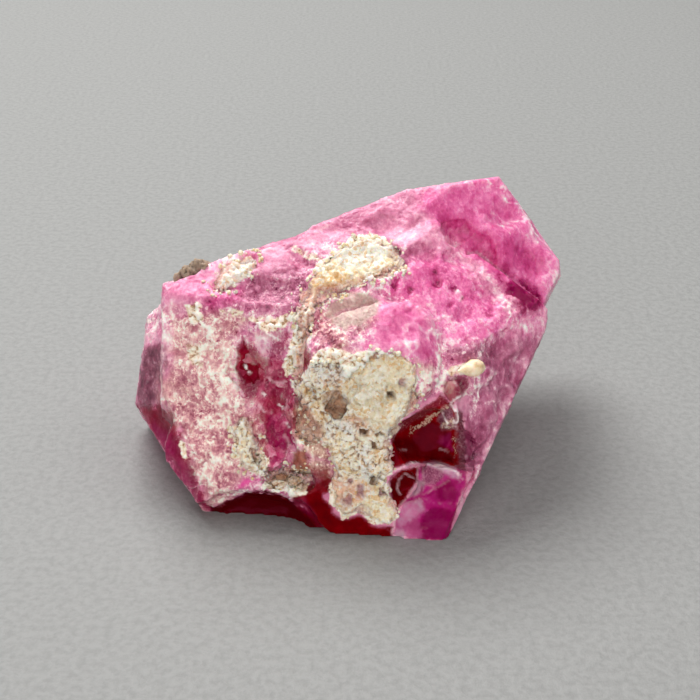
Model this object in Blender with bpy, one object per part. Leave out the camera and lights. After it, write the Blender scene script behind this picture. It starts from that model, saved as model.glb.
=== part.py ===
"""Red beryl twin crystal with crusts of pale matrix.

Two raspberry red hexagonal prisms have grown through each other.  The long one lies on the bench and climbs
a little toward +X; the short one leans across its front right corner, and its front swells into a dome.
The front of the pair is broken: flat breaks, shell-shaped scoops, a glassy hollow, a low arch and a clear
splintered foot.  A keel of the same crystal below the long prism keeps the group from tipping back.  Cream
clay and rhyolite fill the furrow between the two crystals and sit in patches in shallow pockets.

X runs right along the long crystal, Y away from the front, Z up, and the origin is on the bench below the
middle.  The tables are in millimetres and degrees.  A direction is a pair of angles: the compass turn from
+X, then the climb above level.  A place on a flat is (flat, across, up): the distances from the point of the
flat nearest the design origin, level to the right and up the flat as it is seen from outside.
"""

import math

import bmesh
import bpy
from mathutils import Matrix, Vector, noise

MM = 0.001
ROCK = 40 * MM
POCKET_GAP = 0.06 * MM

# The two hexagonal prisms: a point on the axis, the axis, the way one side looks, the width across flats.
PRISMS = {
    "long": {"middle": (0.0, 1.85, 3.55), "axis": (19.6, 13.9), "side": (-94.5, 59.3), "flats": 6.6},
    "short": {"middle": (1.6, 0.2, 3.0), "axis": (51.8, 44.5), "side": (-90, 38.7), "flats": 6.2},
}

# Breaks and end faces: compass turn, climb, distance from the design origin.
BREAKS = {
    "front": (-98, 22, 3.0),
    "front core": (-98, 22, 2.8),
    "left step": (-173, 3.5, 5.4),
    "left heel": (-139.5, -5, 4.25),
    "left toe": (-156, -23.5, 4.1),
    "left wall": (-137, 11.5, 4.55),
    "left cheek": (-176, 11.5, 6.4),
    "left shoulder": (-154.5, 29.5, 6.2),
    "left crown": (161.5, 44.5, 7.35),
    "seam": (-58.5, 28, 2.7),
    "inner end": (16.5, 0.5, 2.45),
    "far front": (-65.5, 33, 3.3),
    "far slope": (8.5, 36, 8.5),
    "far end": (-6.5, 7, 6.35),
    "far under": (-19, -20, 2.8),
    "far crest": (111.5, 68, 8.0),
    "far root": (180, 0, 1.0),
    "short top": (-62, 47.5, 5.2),
    "short middle": (-90, 27, 3.25),
    "short front": (-95.5, 8.5, 2.85),
    "short right": (-50.5, 13.5, 3.95),
    "short under": (-18.5, -18.5, 3.3),
    "short rim": (-9.5, -1.5, 5.15),
    "short end": (41.5, 36.5, 6.75),
    "short left": (-168, 7, 2.15),
    "short toe": (-148, -37, 1.55),
    "short brow": (145.5, 47.5, 4.9),
    "short crown": (-110, 75, 6.4),
    "keel root": (-109, 0, 2.85),
    "keel front": (-90, 0, 2.6),
    "keel corner": (-50, -20, 2.0),
    "keel back": (108, -10, 4.45),
    "keel side": (62, -16, 4.3),
    "keel right": (12, -30, 1.9),
    "keel top": (0, 90, 1.8),
    "foot front": (-94.5, 14, 2.9),
    "foot right": (-13.5, -19, 3.0),
    "foot left": (163, 16.5, -2.0),
    "foot top": (64, 72.5, 1.5),
    "foot corner": (-145, 23.5, 0.56),
    "foot root": (90, 0, -1.0),
}

# Each block is one prism, or none, drawn in a little and trimmed by breaks.  The crystal is them all fused.
BLOCKS = {
    "long slab": ("long", 0.0, ("front", "left step", "left heel", "left toe", "seam", "inner end")),
    "long core": ("long", 0.06, ("front core", "left cheek", "left wall", "left shoulder", "left toe",
                                 "left crown", "seam", "inner end")),
    "long far end": ("long", 0.03, ("far front", "far slope", "far end", "far under", "far crest",
                                    "far root")),
    "long keel": (None, 0.0, ("keel root", "keel front", "keel corner", "left cheek", "left wall", "left heel",
                              "left toe", "keel back", "keel side", "keel right", "keel top")),
    "short crystal": ("short", 0.01, ("short top", "short middle", "short front", "short right",
                                      "short under", "short rim", "short end", "short left", "short toe",
                                      "short brow", "short crown")),
}
FOOT = (None, 0.02, ("foot front", "foot right", "foot left", "foot top", "foot corner", "foot root"))
FLOOR_SPARE = 0.3 * MM

# Rounded growths fused on: place, lift, the half sizes across, up and out, detail, roughness.
GROWTHS = {
    "dome": (("short middle", 0.6, 3.4), 0.0, (1.85, 1.65, 1.0), 3, 0.15),
    "dome brow": (("short middle", 0.0, 4.3), -0.1, (1.2, 0.9, 0.5), 2, 0.2),
    "dome cheek": (("short middle", 1.5, 4.0), 0.0, (0.95, 1.0, 0.5), 2, 0.2),
    "front knuckle": (("front", -1.1, 2.1), 0.0, (0.45, 0.8, 0.3), 2, 0.3),
    "front boss": (("front", -2.1, 4.0), -0.05, (0.8, 0.7, 0.22), 2, 0.4),
    "left knee": (("front", -4.0, 1.0), -0.1, (0.7, 1.1, 0.25), 2, 0.4),
    "upper shard": (("short right", 1.0, 3.0), 0.0, (0.3, 0.35, 0.25), 1, 0.5),
    "lower shard": (("short middle", 2.75, 1.95), 0.0, (0.25, 0.3, 0.3), 1, 0.5),
    "right bump": (("short right", 2.0, 3.1), -0.1, (0.7, 0.6, 0.25), 2, 0.4),
    "right swell": (("short right", 2.2, 2.1), -0.12, (0.6, 0.7, 0.22), 2, 0.4),
    "far bump": (("far front", 4.6, 5.6), -0.1, (0.9, 0.9, 0.3), 2, 0.4),
}

# Hollows broken out before the foot is fused on: place, depth, half sizes, detail, roughness.
HOLLOWS = {
    "glassy hollow": (("short middle", 2.15, 1.3), 0.1, (1.05, 0.95, 0.95), 2, 0.30),
    "foot hollow": (("short front", 1.7, 1.0), 0.0, (0.5, 0.55, 0.55), 2, 0.3),
    "foot side": (("short right", 0.9, 0.9), 0.1, (0.75, 1.1, 0.5), 2, 0.3),
    "front arch": (("front", -2.15, -0.75), 0.0, (1.8, 0.8, 0.95), 2, 0.15),
    "arch end": (("front", -3.50, -1.0), 0.0, (0.9, 0.62, 0.95), 2, 0.15),
}

# Scoops and pits in the finished surface: place, width across, width up, depth, detail.
SCOOPS = (
    (("front", -2.65, 3.2), 0.85, 0.85, 0.45, 2),
    (("front", -2.55, 2.8), 0.55, 0.65, 0.30, 1),
    (("front", -1.70, 2.6), 0.70, 1.00, 0.28, 1),
    (("front", -1.62, 1.7), 0.55, 1.20, 0.34, 2),
    (("front", -4.00, 2.3), 1.60, 1.20, 0.16, 2),
    (("front", -3.20, 1.6), 1.50, 0.90, 0.15, 2),
    (("front", -3.90, 3.6), 1.30, 0.90, 0.14, 2),
    (("front", -3.00, 4.3), 1.10, 0.60, 0.14, 1),
    (("front", -4.50, 4.7), 0.80, 0.60, 0.18, 1),
    (("long 0", -2.30, 2.9), 2.00, 0.90, 0.18, 2),
    (("long 0", -1.30, 3.8), 1.30, 0.80, 0.16, 1),
    (("long 0", -0.50, 4.9), 1.20, 0.60, 0.14, 1),
    (("long 0", 0.80, 5.1), 1.10, 0.80, 0.16, 2),
    (("long 0", -4.10, 3.0), 1.00, 0.70, 0.12, 1),
    (("short middle", -0.10, 4.75), 1.50, 0.90, 0.20, 2),
    (("short top", 0.95, 3.7), 0.40, 0.30, 0.20, 1),
    (("short top", 2.20, 3.5), 0.45, 0.35, 0.22, 1),
    (("short top", 2.60, 3.1), 0.35, 0.30, 0.18, 1),
    (("short top", 1.90, 4.3), 1.20, 0.70, 0.16, 2),
    (("short top", 3.20, 3.9), 1.00, 0.80, 0.18, 2),
    (("short top", 3.60, 2.7), 1.20, 0.80, 0.16, 2),
    (("short top", 2.60, 2.3), 0.90, 0.60, 0.14, 1),
    (("short right", 2.90, 3.7), 1.20, 0.70, 0.20, 2),
    (("short right", 3.30, 2.9), 0.90, 1.00, 0.18, 2),
    (("short right", 2.80, 2.0), 0.90, 0.90, 0.20, 2),
    (("short right", 1.60, 0.9), 0.90, 1.20, 0.18, 1),
    (("far front", 3.50, 6.0), 1.00, 1.10, 0.45, 2),
    (("far front", 4.10, 5.2), 0.90, 1.40, 0.28, 2),
    (("far front", 5.30, 6.3), 1.40, 0.80, 0.18, 2),
    (("far front", 5.60, 4.9), 0.90, 1.20, 0.22, 2),
    (("left wall", -3.10, 1.1), 1.30, 1.30, 0.14, 2),
    (("left wall", -3.90, 2.5), 0.90, 1.20, 0.12, 1),
    (("foot front", 2.05, 1.1), 0.80, 0.50, 0.12, 1),
    (("foot front", 1.80, 0.3), 0.80, 0.90, 0.14, 1),
    (("far slope", 2.0, 1.5), 1.60, 1.20, 0.18, 2),
    (("far slope", 3.6, 0.6), 1.40, 1.60, 0.16, 2),
    (("long 5", 0.5, 2.0), 2.20, 1.20, 0.18, 2),
    (("long 5", 3.5, 1.0), 1.60, 1.20, 0.18, 1),
    (("long 5", -2.5, 1.0), 1.60, 1.00, 0.20, 1),
    (("long 4", 1.5, 4.0), 2.20, 1.60, 0.22, 2),
    (("long 4", 4.0, 2.8), 1.80, 1.30, 0.20, 2),
    (("long 4", -1.5, 3.2), 2.00, 1.40, 0.24, 2),
    (("long 4", -3.5, 4.2), 1.60, 1.20, 0.20, 1),
    (("long 4", 0.2, 1.6), 1.80, 1.00, 0.20, 1),
)

# Crusts of matrix: for each piece its lumps as place, lift, half sizes across, up and out.
MATRIX = {
    "matrix_furrow": (
        (("short middle", 0.85, 2.90), 0.72, (0.90, 0.80, 0.36)),
        (("short middle", -0.35, 2.80), 0.48, (0.78, 0.68, 0.42)),
        (("short middle", 1.35, 2.25), 0.40, (0.60, 0.55, 0.42)),
        (("short middle", 0.35, 2.05), 0.42, (0.80, 0.55, 0.38)),
        (("short middle", -0.75, 2.15), 0.22, (0.55, 0.60, 0.38)),
        (("short middle", 0.20, 1.45), 0.20, (0.90, 0.55, 0.36)),
        (("short middle", 0.45, 0.85), 0.15, (0.80, 0.55, 0.36)),
        (("short front", 0.45, 1.15), 0.10, (0.72, 0.55, 0.34)),
        (("short front", 0.65, 0.65), 0.08, (0.78, 0.45, 0.28)),
        (("short front", 1.20, 0.42), 0.05, (0.38, 0.36, 0.26)),
        (("front", -0.75, 2.0), 0.20, (0.42, 0.60, 0.34)),
        (("front", -0.95, 2.6), 0.08, (0.30, 0.45, 0.24)),
        (("front", -1.12, 3.2), 0.00, (0.24, 0.45, 0.18)),
        (("front", -1.10, 3.8), 0.00, (0.20, 0.48, 0.16)),
        (("front", -1.05, 4.4), 0.00, (0.22, 0.45, 0.18)),
        (("front", -1.10, 4.9), 0.00, (0.36, 0.36, 0.24)),
        (("long 0", -0.95, 2.60), 0.00, (0.50, 0.32, 0.22)),
        (("long 0", -0.55, 3.00), 0.00, (0.50, 0.40, 0.26)),
        (("long 0", -0.05, 3.60), 0.02, (0.65, 0.60, 0.30)),
        (("long 0", 0.60, 4.05), 0.00, (0.75, 0.50, 0.30)),
        (("long 0", 0.55, 3.55), 0.14, (0.60, 0.45, 0.32)),
        (("long 0", 1.10, 3.75), 0.14, (0.45, 0.38, 0.28)),
    ),
    "matrix_corner": (
        (("long 0", -3.46, 2.95), 0.00, (0.34, 0.28, 0.16)),
        (("long 0", -3.15, 3.33), 0.00, (0.42, 0.38, 0.18)),
        (("long 0", -2.83, 3.68), 0.00, (0.30, 0.32, 0.16)),
    ),
    "matrix_patch": (
        (("front", -2.62, 1.65), 0.00, (0.32, 0.42, 0.20)),
        (("front", -2.46, 1.20), 0.00, (0.40, 0.40, 0.22)),
        (("front", -2.32, 0.80), 0.00, (0.32, 0.32, 0.20)),
    ),
    "matrix_arch": (
        (("front", -1.72, 0.36), -0.05, (0.36, 0.30, 0.28)),
        (("front", -1.32, 0.42), -0.05, (0.45, 0.36, 0.30)),
        (("short front", -1.02, 1.08), -0.05, (0.34, 0.36, 0.28)),
    ),
    "matrix_back": (
        (("long 5", 2.72, 0.84), -0.02, (0.34, 0.34, 0.20)),
        (("long 5", 3.00, 0.74), -0.02, (0.28, 0.28, 0.14)),
    ),
}
BIG_LUMP = 0.48
LUMP_ROUGHNESS = 0.4

# Bumps on a lump of unit size: how many across it, and how fast they change from place to place.
BUMPS_ACROSS = 1.9
BUMPS_APART = 3

# The ball that cuts a scoop, as shares of the scoop's width and depth, and its roughness.
SCOOP_WIDTH = 0.6
SCOOP_DEPTH = 1.5
SCOOP_ROUGHNESS = 0.6

# The grain narrows from this far behind its middle by this share of its length.
TAPER_START = 0.2
TAPER = 0.75
GRAIN = {"place": ("short right", 1.50, 3.50), "lift": 0.18, "length": 1.05, "width": 0.52, "heading": 172}


def toward(turn, climb):
    """The unit vector for a compass turn and a climb."""
    a, e = math.radians(turn), math.radians(climb)
    return Vector((math.cos(a) * math.cos(e), math.sin(a) * math.cos(e), math.sin(e)))


def prism_sides(prism):
    """The six side flats of a prism, the first one looking the prism's side way."""
    axis = toward(*prism["axis"])
    side = toward(*prism["side"])
    side = (side - side.dot(axis) * axis).normalized()
    middle = Vector(prism["middle"]) * MM
    looks = [Matrix.Rotation(math.radians(60 * k), 3, axis) @ side for k in range(6)]
    return [(look, middle.dot(look) + prism["flats"] / 2 * MM) for look in looks]


def all_flats():
    """Every named flat as the way it looks and its distance: the breaks, then long 0-5 and short 0-5."""
    flats = {name: (toward(turn, climb), distance * MM) for name, (turn, climb, distance) in BREAKS.items()}
    for word, prism in PRISMS.items():
        for k, side in enumerate(prism_sides(prism)):
            flats[f"{word} {k}"] = side
    return flats


FLATS = all_flats()


def flat_axes(name):
    """Across, up and out on a flat, as the columns of a turn matrix."""
    out = FLATS[name][0]
    across = Vector((0, 0, 1)).cross(out).normalized()
    return Matrix((across, out.cross(across), out)).transposed()


def on_flat(name, across, up, lift=0.0):
    """A point on a flat, or lifted off it."""
    return flat_axes(name) @ Vector((across * MM, up * MM, FLATS[name][1] + lift * MM))


def finish(mesh, name, collection):
    """Turn a bmesh into an object of the collection."""
    data = bpy.data.meshes.new(name)
    mesh.to_mesh(data)
    mesh.free()
    shape = bpy.data.objects.new(name, data)
    collection.objects.link(shape)
    return shape


def shaved_block(name, prism, inset, breaks, collection):
    """A cube of rock shaved to a prism's sides, its breaks, and just under the floor."""
    mesh = bmesh.new()
    bmesh.ops.create_cube(mesh, size=ROCK)
    flats = [FLATS[flat] for flat in breaks]
    if prism:
        flats += [(look, distance - inset * MM) for look, distance in prism_sides(PRISMS[prism])]
    flats.append((Vector((0, 0, -1)), FLOOR_SPARE + inset * MM))
    for look, distance in flats:
        cut = bmesh.ops.bisect_plane(
            mesh, geom=mesh.verts[:] + mesh.edges[:] + mesh.faces[:],
            plane_co=look * distance, plane_no=look, clear_outer=True)
        rim = [item for item in cut["geom_cut"] if isinstance(item, bmesh.types.BMEdge)]
        if rim:
            bmesh.ops.contextual_create(mesh, geom=rim)
    bmesh.ops.recalc_face_normals(mesh, faces=mesh.faces[:])
    return finish(mesh, name, collection)


def rough_ball(name, place, lift, half_sizes, detail, roughness, collection, grow=0.0):
    """A faceted lump lying on a flat, its bumps fixed by its place."""
    turn = flat_axes(place[0])
    centre = on_flat(*place, lift)
    sizes = Vector(half_sizes) * MM
    mesh = bmesh.new()
    bmesh.ops.create_icosphere(mesh, subdivisions=detail, radius=1)
    for vert in mesh.verts:
        bump = 1 + roughness * noise.noise(vert.co * BUMPS_ACROSS + centre / MM * BUMPS_APART)
        local = Vector([vert.co[k] * sizes[k] for k in range(3)]) * bump
        vert.co = centre + turn @ (local + local.normalized() * grow)
    return finish(mesh, name, collection)


def boolean(target, operation, tool):
    """Fuse or cut with one object, or every object of a collection.  Rock this rough needs MANIFOLD."""
    step = target.modifiers.new(tool.name, "BOOLEAN")
    step.operation = operation
    step.solver = "MANIFOLD"
    if isinstance(tool, bpy.types.Collection):
        step.operand_type = "COLLECTION"
        step.collection = tool
    else:
        step.object = tool


def new_collection(name, parent):
    group = bpy.data.collections.new(name)
    parent.children.link(group)
    return group


def paint(shape, colour, roughness, transmission=0.0):
    """Give the object its own material."""
    material = bpy.data.materials.new(shape.name)
    material.use_nodes = True
    shader = material.node_tree.nodes["Principled BSDF"]
    shader.inputs["Base Color"].default_value = (*colour, 1)
    shader.inputs["Roughness"].default_value = roughness
    shader.inputs["Metallic"].default_value = 0.0
    shader.inputs["Transmission Weight"].default_value = transmission
    shape.data.materials.append(material)


def matrix_lumps(piece, collection, grow=0.0):
    """The lumps of one crust, grown a little where they are to cut its pocket."""
    lumps = []
    for k, (place, lift, half_sizes) in enumerate(MATRIX[piece]):
        detail = 2 if max(half_sizes) > BIG_LUMP else 1
        lumps.append(rough_ball(f"{collection.name}_{piece}_{k:02d}", place, lift, half_sizes,
                                detail, LUMP_ROUGHNESS, collection, grow))
    return lumps


def grain_ball(name, collection, grow=0.0):
    """A seed-shaped grain: a ball drawn out to a point along its heading on the flat."""
    turn = flat_axes(GRAIN["place"][0]) @ Matrix.Rotation(math.radians(GRAIN["heading"]), 3, "Z")
    centre = on_flat(*GRAIN["place"], GRAIN["lift"])
    mesh = bmesh.new()
    bmesh.ops.create_icosphere(mesh, subdivisions=2, radius=1)
    for vert in mesh.verts:
        taper = 1 - TAPER * max(vert.co.x + TAPER_START, 0)
        local = Vector((vert.co.x * GRAIN["length"], vert.co.y * GRAIN["width"] * taper,
                        vert.co.z * GRAIN["width"] * taper)) / 2 * MM
        vert.co = centre + turn @ (local + local.normalized() * grow)
    return finish(mesh, name, collection)


def make_crystal(part, cutters):
    """The twin: blocks fused, hollows broken out, foot and growths fused on, scoops and pockets cut."""
    blocks = new_collection("blocks", cutters)
    hollows = new_collection("hollows", cutters)
    growths = new_collection("growths", cutters)
    scoops = new_collection("scoops", cutters)
    pockets = new_collection("pockets", cutters)

    first, *others = BLOCKS
    crystal = shaved_block("twin_crystal", *BLOCKS[first], part)
    for name in others:
        shaved_block(name, *BLOCKS[name], blocks)
    for name, (place, depth, half_sizes, detail, roughness) in HOLLOWS.items():
        rough_ball(name, place, -depth, half_sizes, detail, roughness, hollows)
    shaved_block("foot", *FOOT, growths)
    for name, (place, lift, half_sizes, detail, roughness) in GROWTHS.items():
        rough_ball(name, place, lift, half_sizes, detail, roughness, growths)
    for k, (place, across, up, depth, detail) in enumerate(SCOOPS):
        half_sizes = (across * SCOOP_WIDTH, up * SCOOP_WIDTH, depth * SCOOP_DEPTH)
        rough_ball(f"scoop_{k:02d}", place, depth / 2, half_sizes, detail, SCOOP_ROUGHNESS, scoops)
    for piece in MATRIX:
        matrix_lumps(piece, pockets, POCKET_GAP)
    grain_ball("pocket_grain", pockets, POCKET_GAP)

    boolean(crystal, "UNION", blocks)
    boolean(crystal, "DIFFERENCE", hollows)
    boolean(crystal, "UNION", growths)
    boolean(crystal, "DIFFERENCE", scoops)
    boolean(crystal, "DIFFERENCE", pockets)
    boolean(crystal, "DIFFERENCE", bench_block(cutters))
    paint(crystal, (0.62, 0.06, 0.25), 0.25, 0.6)
    return crystal


def make_matrix(piece, part, cutters):
    """One crust: its first lump with the others fused to it."""
    lumps = new_collection(f"{piece} lumps", cutters)
    all_lumps = matrix_lumps(piece, lumps)
    crust = all_lumps[0]
    crust.name = piece
    lumps.objects.unlink(crust)
    part.objects.link(crust)
    boolean(crust, "UNION", lumps)
    paint(crust, (0.78, 0.68, 0.50), 0.95)
    return crust


def bench_block(collection):
    """A block whose top is the bench, to cut the crystal's resting flats."""
    mesh = bmesh.new()
    bmesh.ops.create_cube(mesh, size=ROCK)
    bmesh.ops.translate(mesh, vec=(0, 0, -ROCK / 2), verts=mesh.verts)
    return finish(mesh, "bench", collection)


def hide_tools(collection):
    """Cutters stay out of renders and show as wire."""
    for tool in collection.all_objects:
        tool.hide_render = True
        tool.display_type = "WIRE"


def centre_on_origin(part):
    """Move everything so that the finished shape's box has its bottom middle at the origin."""
    graph = bpy.context.evaluated_depsgraph_get()
    corners = []
    for shape in part.objects:
        corners += [shape.matrix_world @ vert.co for vert in shape.evaluated_get(graph).data.vertices]
    low = Vector([min(corner[k] for corner in corners) for k in range(3)])
    high = Vector([max(corner[k] for corner in corners) for k in range(3)])
    shift = Vector((-(low.x + high.x) / 2, -(low.y + high.y) / 2, -low.z))
    for shape in bpy.data.objects:
        shape.location = shape.location + shift


def build():
    for old in list(bpy.data.objects):
        bpy.data.objects.remove(old)
    scene = bpy.context.scene.collection
    part = new_collection("red beryl twin crystal", scene)
    cutters = new_collection("cutters", scene)
    make_crystal(part, cutters)
    for piece in MATRIX:
        make_matrix(piece, part, cutters)
    paint(grain_ball("cream_grain", part), (0.85, 0.75, 0.55), 0.6)
    hide_tools(cutters)
    centre_on_origin(part)


build()
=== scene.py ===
"""The looks of the red beryl twin crystal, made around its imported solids.

Each visible piece, apart from the loose grains of crust, starts from the solid that it replaces.
It is remeshed finely, roughened by layered noise, and marked with features that are placed where
they show in the picture: a feature's outline is drawn in pixels and laid on the points of the
surface that show inside it.  The marks are kept on the points as shares from 0 to 1, which the node
materials read.  Pieces are made in millimetres and scaled to metres at the end.
"""

import math

import bmesh
import bpy
import numpy as np
from mathutils import Matrix, Vector
from mathutils.bvhtree import BVHTree
from mathutils.kdtree import KDTree


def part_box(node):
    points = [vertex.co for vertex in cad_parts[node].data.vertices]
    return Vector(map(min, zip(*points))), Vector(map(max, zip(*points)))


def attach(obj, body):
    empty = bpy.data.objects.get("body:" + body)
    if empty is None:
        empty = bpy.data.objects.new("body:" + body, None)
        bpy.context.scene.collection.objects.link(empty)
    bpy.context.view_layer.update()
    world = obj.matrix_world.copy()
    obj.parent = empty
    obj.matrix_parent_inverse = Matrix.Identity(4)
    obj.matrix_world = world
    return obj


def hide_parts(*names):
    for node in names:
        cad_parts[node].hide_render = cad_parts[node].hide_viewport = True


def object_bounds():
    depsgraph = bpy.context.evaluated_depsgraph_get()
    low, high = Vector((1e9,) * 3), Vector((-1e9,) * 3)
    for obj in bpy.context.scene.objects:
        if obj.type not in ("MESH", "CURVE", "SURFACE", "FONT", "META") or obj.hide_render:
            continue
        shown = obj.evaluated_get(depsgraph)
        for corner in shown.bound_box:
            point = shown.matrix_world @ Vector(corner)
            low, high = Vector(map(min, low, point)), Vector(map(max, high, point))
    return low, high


MM = 0.001
TO_METRES = Matrix.Diagonal((MM, MM, MM, 1))
TO_MILLIMETRES = Matrix.Diagonal((1 / MM, 1 / MM, 1 / MM, 1))
BODY = "root"

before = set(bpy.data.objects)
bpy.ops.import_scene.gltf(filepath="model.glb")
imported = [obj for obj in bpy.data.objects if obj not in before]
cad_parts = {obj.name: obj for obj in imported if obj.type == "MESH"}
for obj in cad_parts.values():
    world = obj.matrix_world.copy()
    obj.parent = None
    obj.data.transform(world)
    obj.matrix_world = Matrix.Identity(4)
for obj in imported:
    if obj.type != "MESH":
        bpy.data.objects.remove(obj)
CAD_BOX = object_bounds()


def add_object(name, data):
    thing = bpy.data.objects.new(name, data)
    bpy.context.scene.collection.objects.link(thing)
    return thing


def put_object(name, data, place, turn):
    """A new object at a place in millimetres, turned by a quaternion."""
    thing = add_object(name, data)
    thing.location = place * MM
    thing.rotation_mode = "QUATERNION"
    thing.rotation_quaternion = turn
    return thing


# ---------------------------------------------------------------- camera

# The camera's place is fitted to the picture; its distances are in millimetres.
FRAME_PX = 700
LENS = 70.0
SENSOR = 36.0
FOCAL_PX = LENS / SENSOR * FRAME_PX
NEAREST, FARTHEST = 5, 5000
CLIMB = math.radians(27)
DISTANCE = 38.0
GRAIN_MIDDLE = sum(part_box("cream_grain"), Vector()) / 2 / MM
TARGET_FROM_GRAIN = Vector((-3.214, 1.781, -0.345))
TARGET = GRAIN_MIDDLE + TARGET_FROM_GRAIN

AHEAD = Vector((0, math.cos(CLIMB), -math.sin(CLIMB)))
RIGHT = Vector((1, 0, 0))
ABOVE = RIGHT.cross(AHEAD)
EYE = TARGET - DISTANCE * AHEAD


def make_camera():
    data = bpy.data.cameras.new("camera")
    data.lens = LENS
    data.sensor_width = SENSOR
    data.clip_start = NEAREST * MM
    data.clip_end = FARTHEST * MM
    turn = AHEAD.to_track_quat("-Z", "Y")
    bpy.context.scene.camera = put_object("camera", data, EYE, turn)


def depths_of(points):
    """How far ahead of the camera points lie."""
    return (points - np.array(EYE)) @ np.array(AHEAD)


def pixels_of(points):
    """Where points show in the picture."""
    away = points - np.array(EYE)
    ahead = depths_of(points)
    return np.stack([FRAME_PX / 2 + FOCAL_PX * (away @ np.array(RIGHT)) / ahead,
                     FRAME_PX / 2 - FOCAL_PX * (away @ np.array(ABOVE)) / ahead], axis=1)


# ---------------------------------------------------------------- noise on points

# The hash that every random number comes from: its factors, and the bits it works in and keeps.
HASH_PRIMES = (73856093, 19349663, 83492791)
HASH_STIR = 1274126177
WORD = 0xFFFFFFFF
HASH_STEPS = 0xFFFFFF
# How far a seed moves the noise, and how much of a layer's strength the next finer one has.
SEED_SHIFT = 3.7
LAYER_FADE = 0.55
# How far chips stray in their cells, how steep they are, and how wide their borders are.
SHARD_JITTER = 0.8
SHARD_TILT = 1.6
SHARD_BORDER = 0.25
TILT_SEED, LEVEL_SEED = 10, 20
# Farther off, in cells, than any chip's neighbour.
BEYOND_CELLS = 9.0

# A turn that keeps the noise's cells off the axes.
TWIST = np.array([[0.36, 0.48, -0.80], [-0.80, 0.60, 0.00], [0.48, 0.64, 0.60]])

# Layered noises by their use: size in millimetres, layers and seed.
NOISES = {
    "outline wobble": (0.4, 4, 41),
    "line gaps": (0.25, 3, 43),
    "hackle": (0.22, 3, 7),
    "swell": (1.4, 2, 11),
    "web": (0.7, 3, 57),
    "web gaps": (1.1, 2, 59),
    "dust lumps": (0.3, 3, 67),
    "broad tone": (1.3, 3, 51),
    "fine tone": (0.35, 3, 53),
    "crust wobble": (0.35, 4, 61),
    "crust lumps": (0.5, 3, 21),
    "knob bumps": (0.4, 2, 27),
    "seed grain": (0.3, 3, 31),
}

# Flat-topped chips by their use: size in millimetres and seed.
CHIPS = {
    "outline wobble": (0.22, 45),
    "coarse chips": (0.85, 3),
    "fine chips": (0.30, 5),
    "dust granules": (0.16, 63),
    "broken planes": (0.28, 77),
    "crust grit": (0.17, 23),
    "crust sand": (0.09, 25),
    "crust pores": (0.26, 29),
}


def smooth_step(value, low, high):
    part = np.clip((value - low) / (high - low), 0, 1)
    return part * part * (3 - 2 * part)


def lattice(cells, seed):
    """A fixed random number from 0 to 1 for each whole-number cell."""
    x, y, z = (cells[..., axis] * prime for axis, prime in enumerate(HASH_PRIMES))
    mixed = (x ^ y ^ z ^ seed * HASH_PRIMES[2]) & WORD
    mixed = (mixed ^ (mixed >> 13)) * HASH_STIR & WORD
    return ((mixed ^ (mixed >> 15)) & HASH_STEPS) / HASH_STEPS


def waves(points, size, seed):
    """Smooth noise from -1 to 1 with bumps of about this size."""
    scaled = points @ TWIST / size + seed * SEED_SHIFT
    low = np.floor(scaled).astype(np.int64)
    part = scaled - low
    part = part * part * (3 - 2 * part)
    total = 0.0
    for corner in np.ndindex(2, 2, 2):
        corner = np.array(corner)
        share = np.prod(np.where(corner == 1, part, 1 - part), axis=1)
        total = total + share * lattice(low + corner, seed)
    return total * 2 - 1


def layered(points, size, layers, seed):
    """Noise with ever finer layers."""
    total, most = 0.0, 0.0
    for k in range(layers):
        turned = points @ np.linalg.matrix_power(TWIST, k)
        total = total + LAYER_FADE**k * waves(turned, size / 2**k, seed + k)
        most += LAYER_FADE**k
    return total / most


def shards(points, size, seed):
    """Flat-topped chips: a height from about -1 to 1 that tilts another way in each cell, and the
    nearness to the cell's border from 0 to 1."""
    scaled = points @ TWIST / size
    low = np.floor(scaled).astype(np.int64)
    nearest = np.full(len(points), BEYOND_CELLS)
    second = nearest.copy()
    offset = np.zeros((len(points), 3))
    home = np.zeros((len(points), 3), np.int64)
    for step in np.ndindex(3, 3, 3):
        cell = low + np.array(step) - 1
        jitter = np.stack([lattice(cell, seed + k) for k in range(3)], axis=1)
        away = scaled - cell - 0.5 - SHARD_JITTER * (jitter - 0.5)
        distance = np.linalg.norm(away, axis=1)
        closer = distance < nearest
        second = np.where(closer, nearest, np.minimum(second, distance))
        nearest = np.where(closer, distance, nearest)
        offset[closer] = away[closer]
        home[closer] = cell[closer]
    tilt = np.stack([lattice(home, seed + TILT_SEED + k) for k in range(3)], axis=1) * 2 - 1
    level = lattice(home, seed + LEVEL_SEED) - 0.5
    height = (offset * tilt).sum(axis=1) * SHARD_TILT + level
    border = np.clip(1 - (second - nearest) / SHARD_BORDER, 0, 1)
    return height, border


def noise(points, use):
    return layered(points, *NOISES[use])


def chips(points, use):
    """The heights of the chips alone."""
    return shards(points, *CHIPS[use])[0]


# ---------------------------------------------------------------- features by pixel

# Outlines and lines are pixels of the picture, "x,y" after "x,y".

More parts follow.
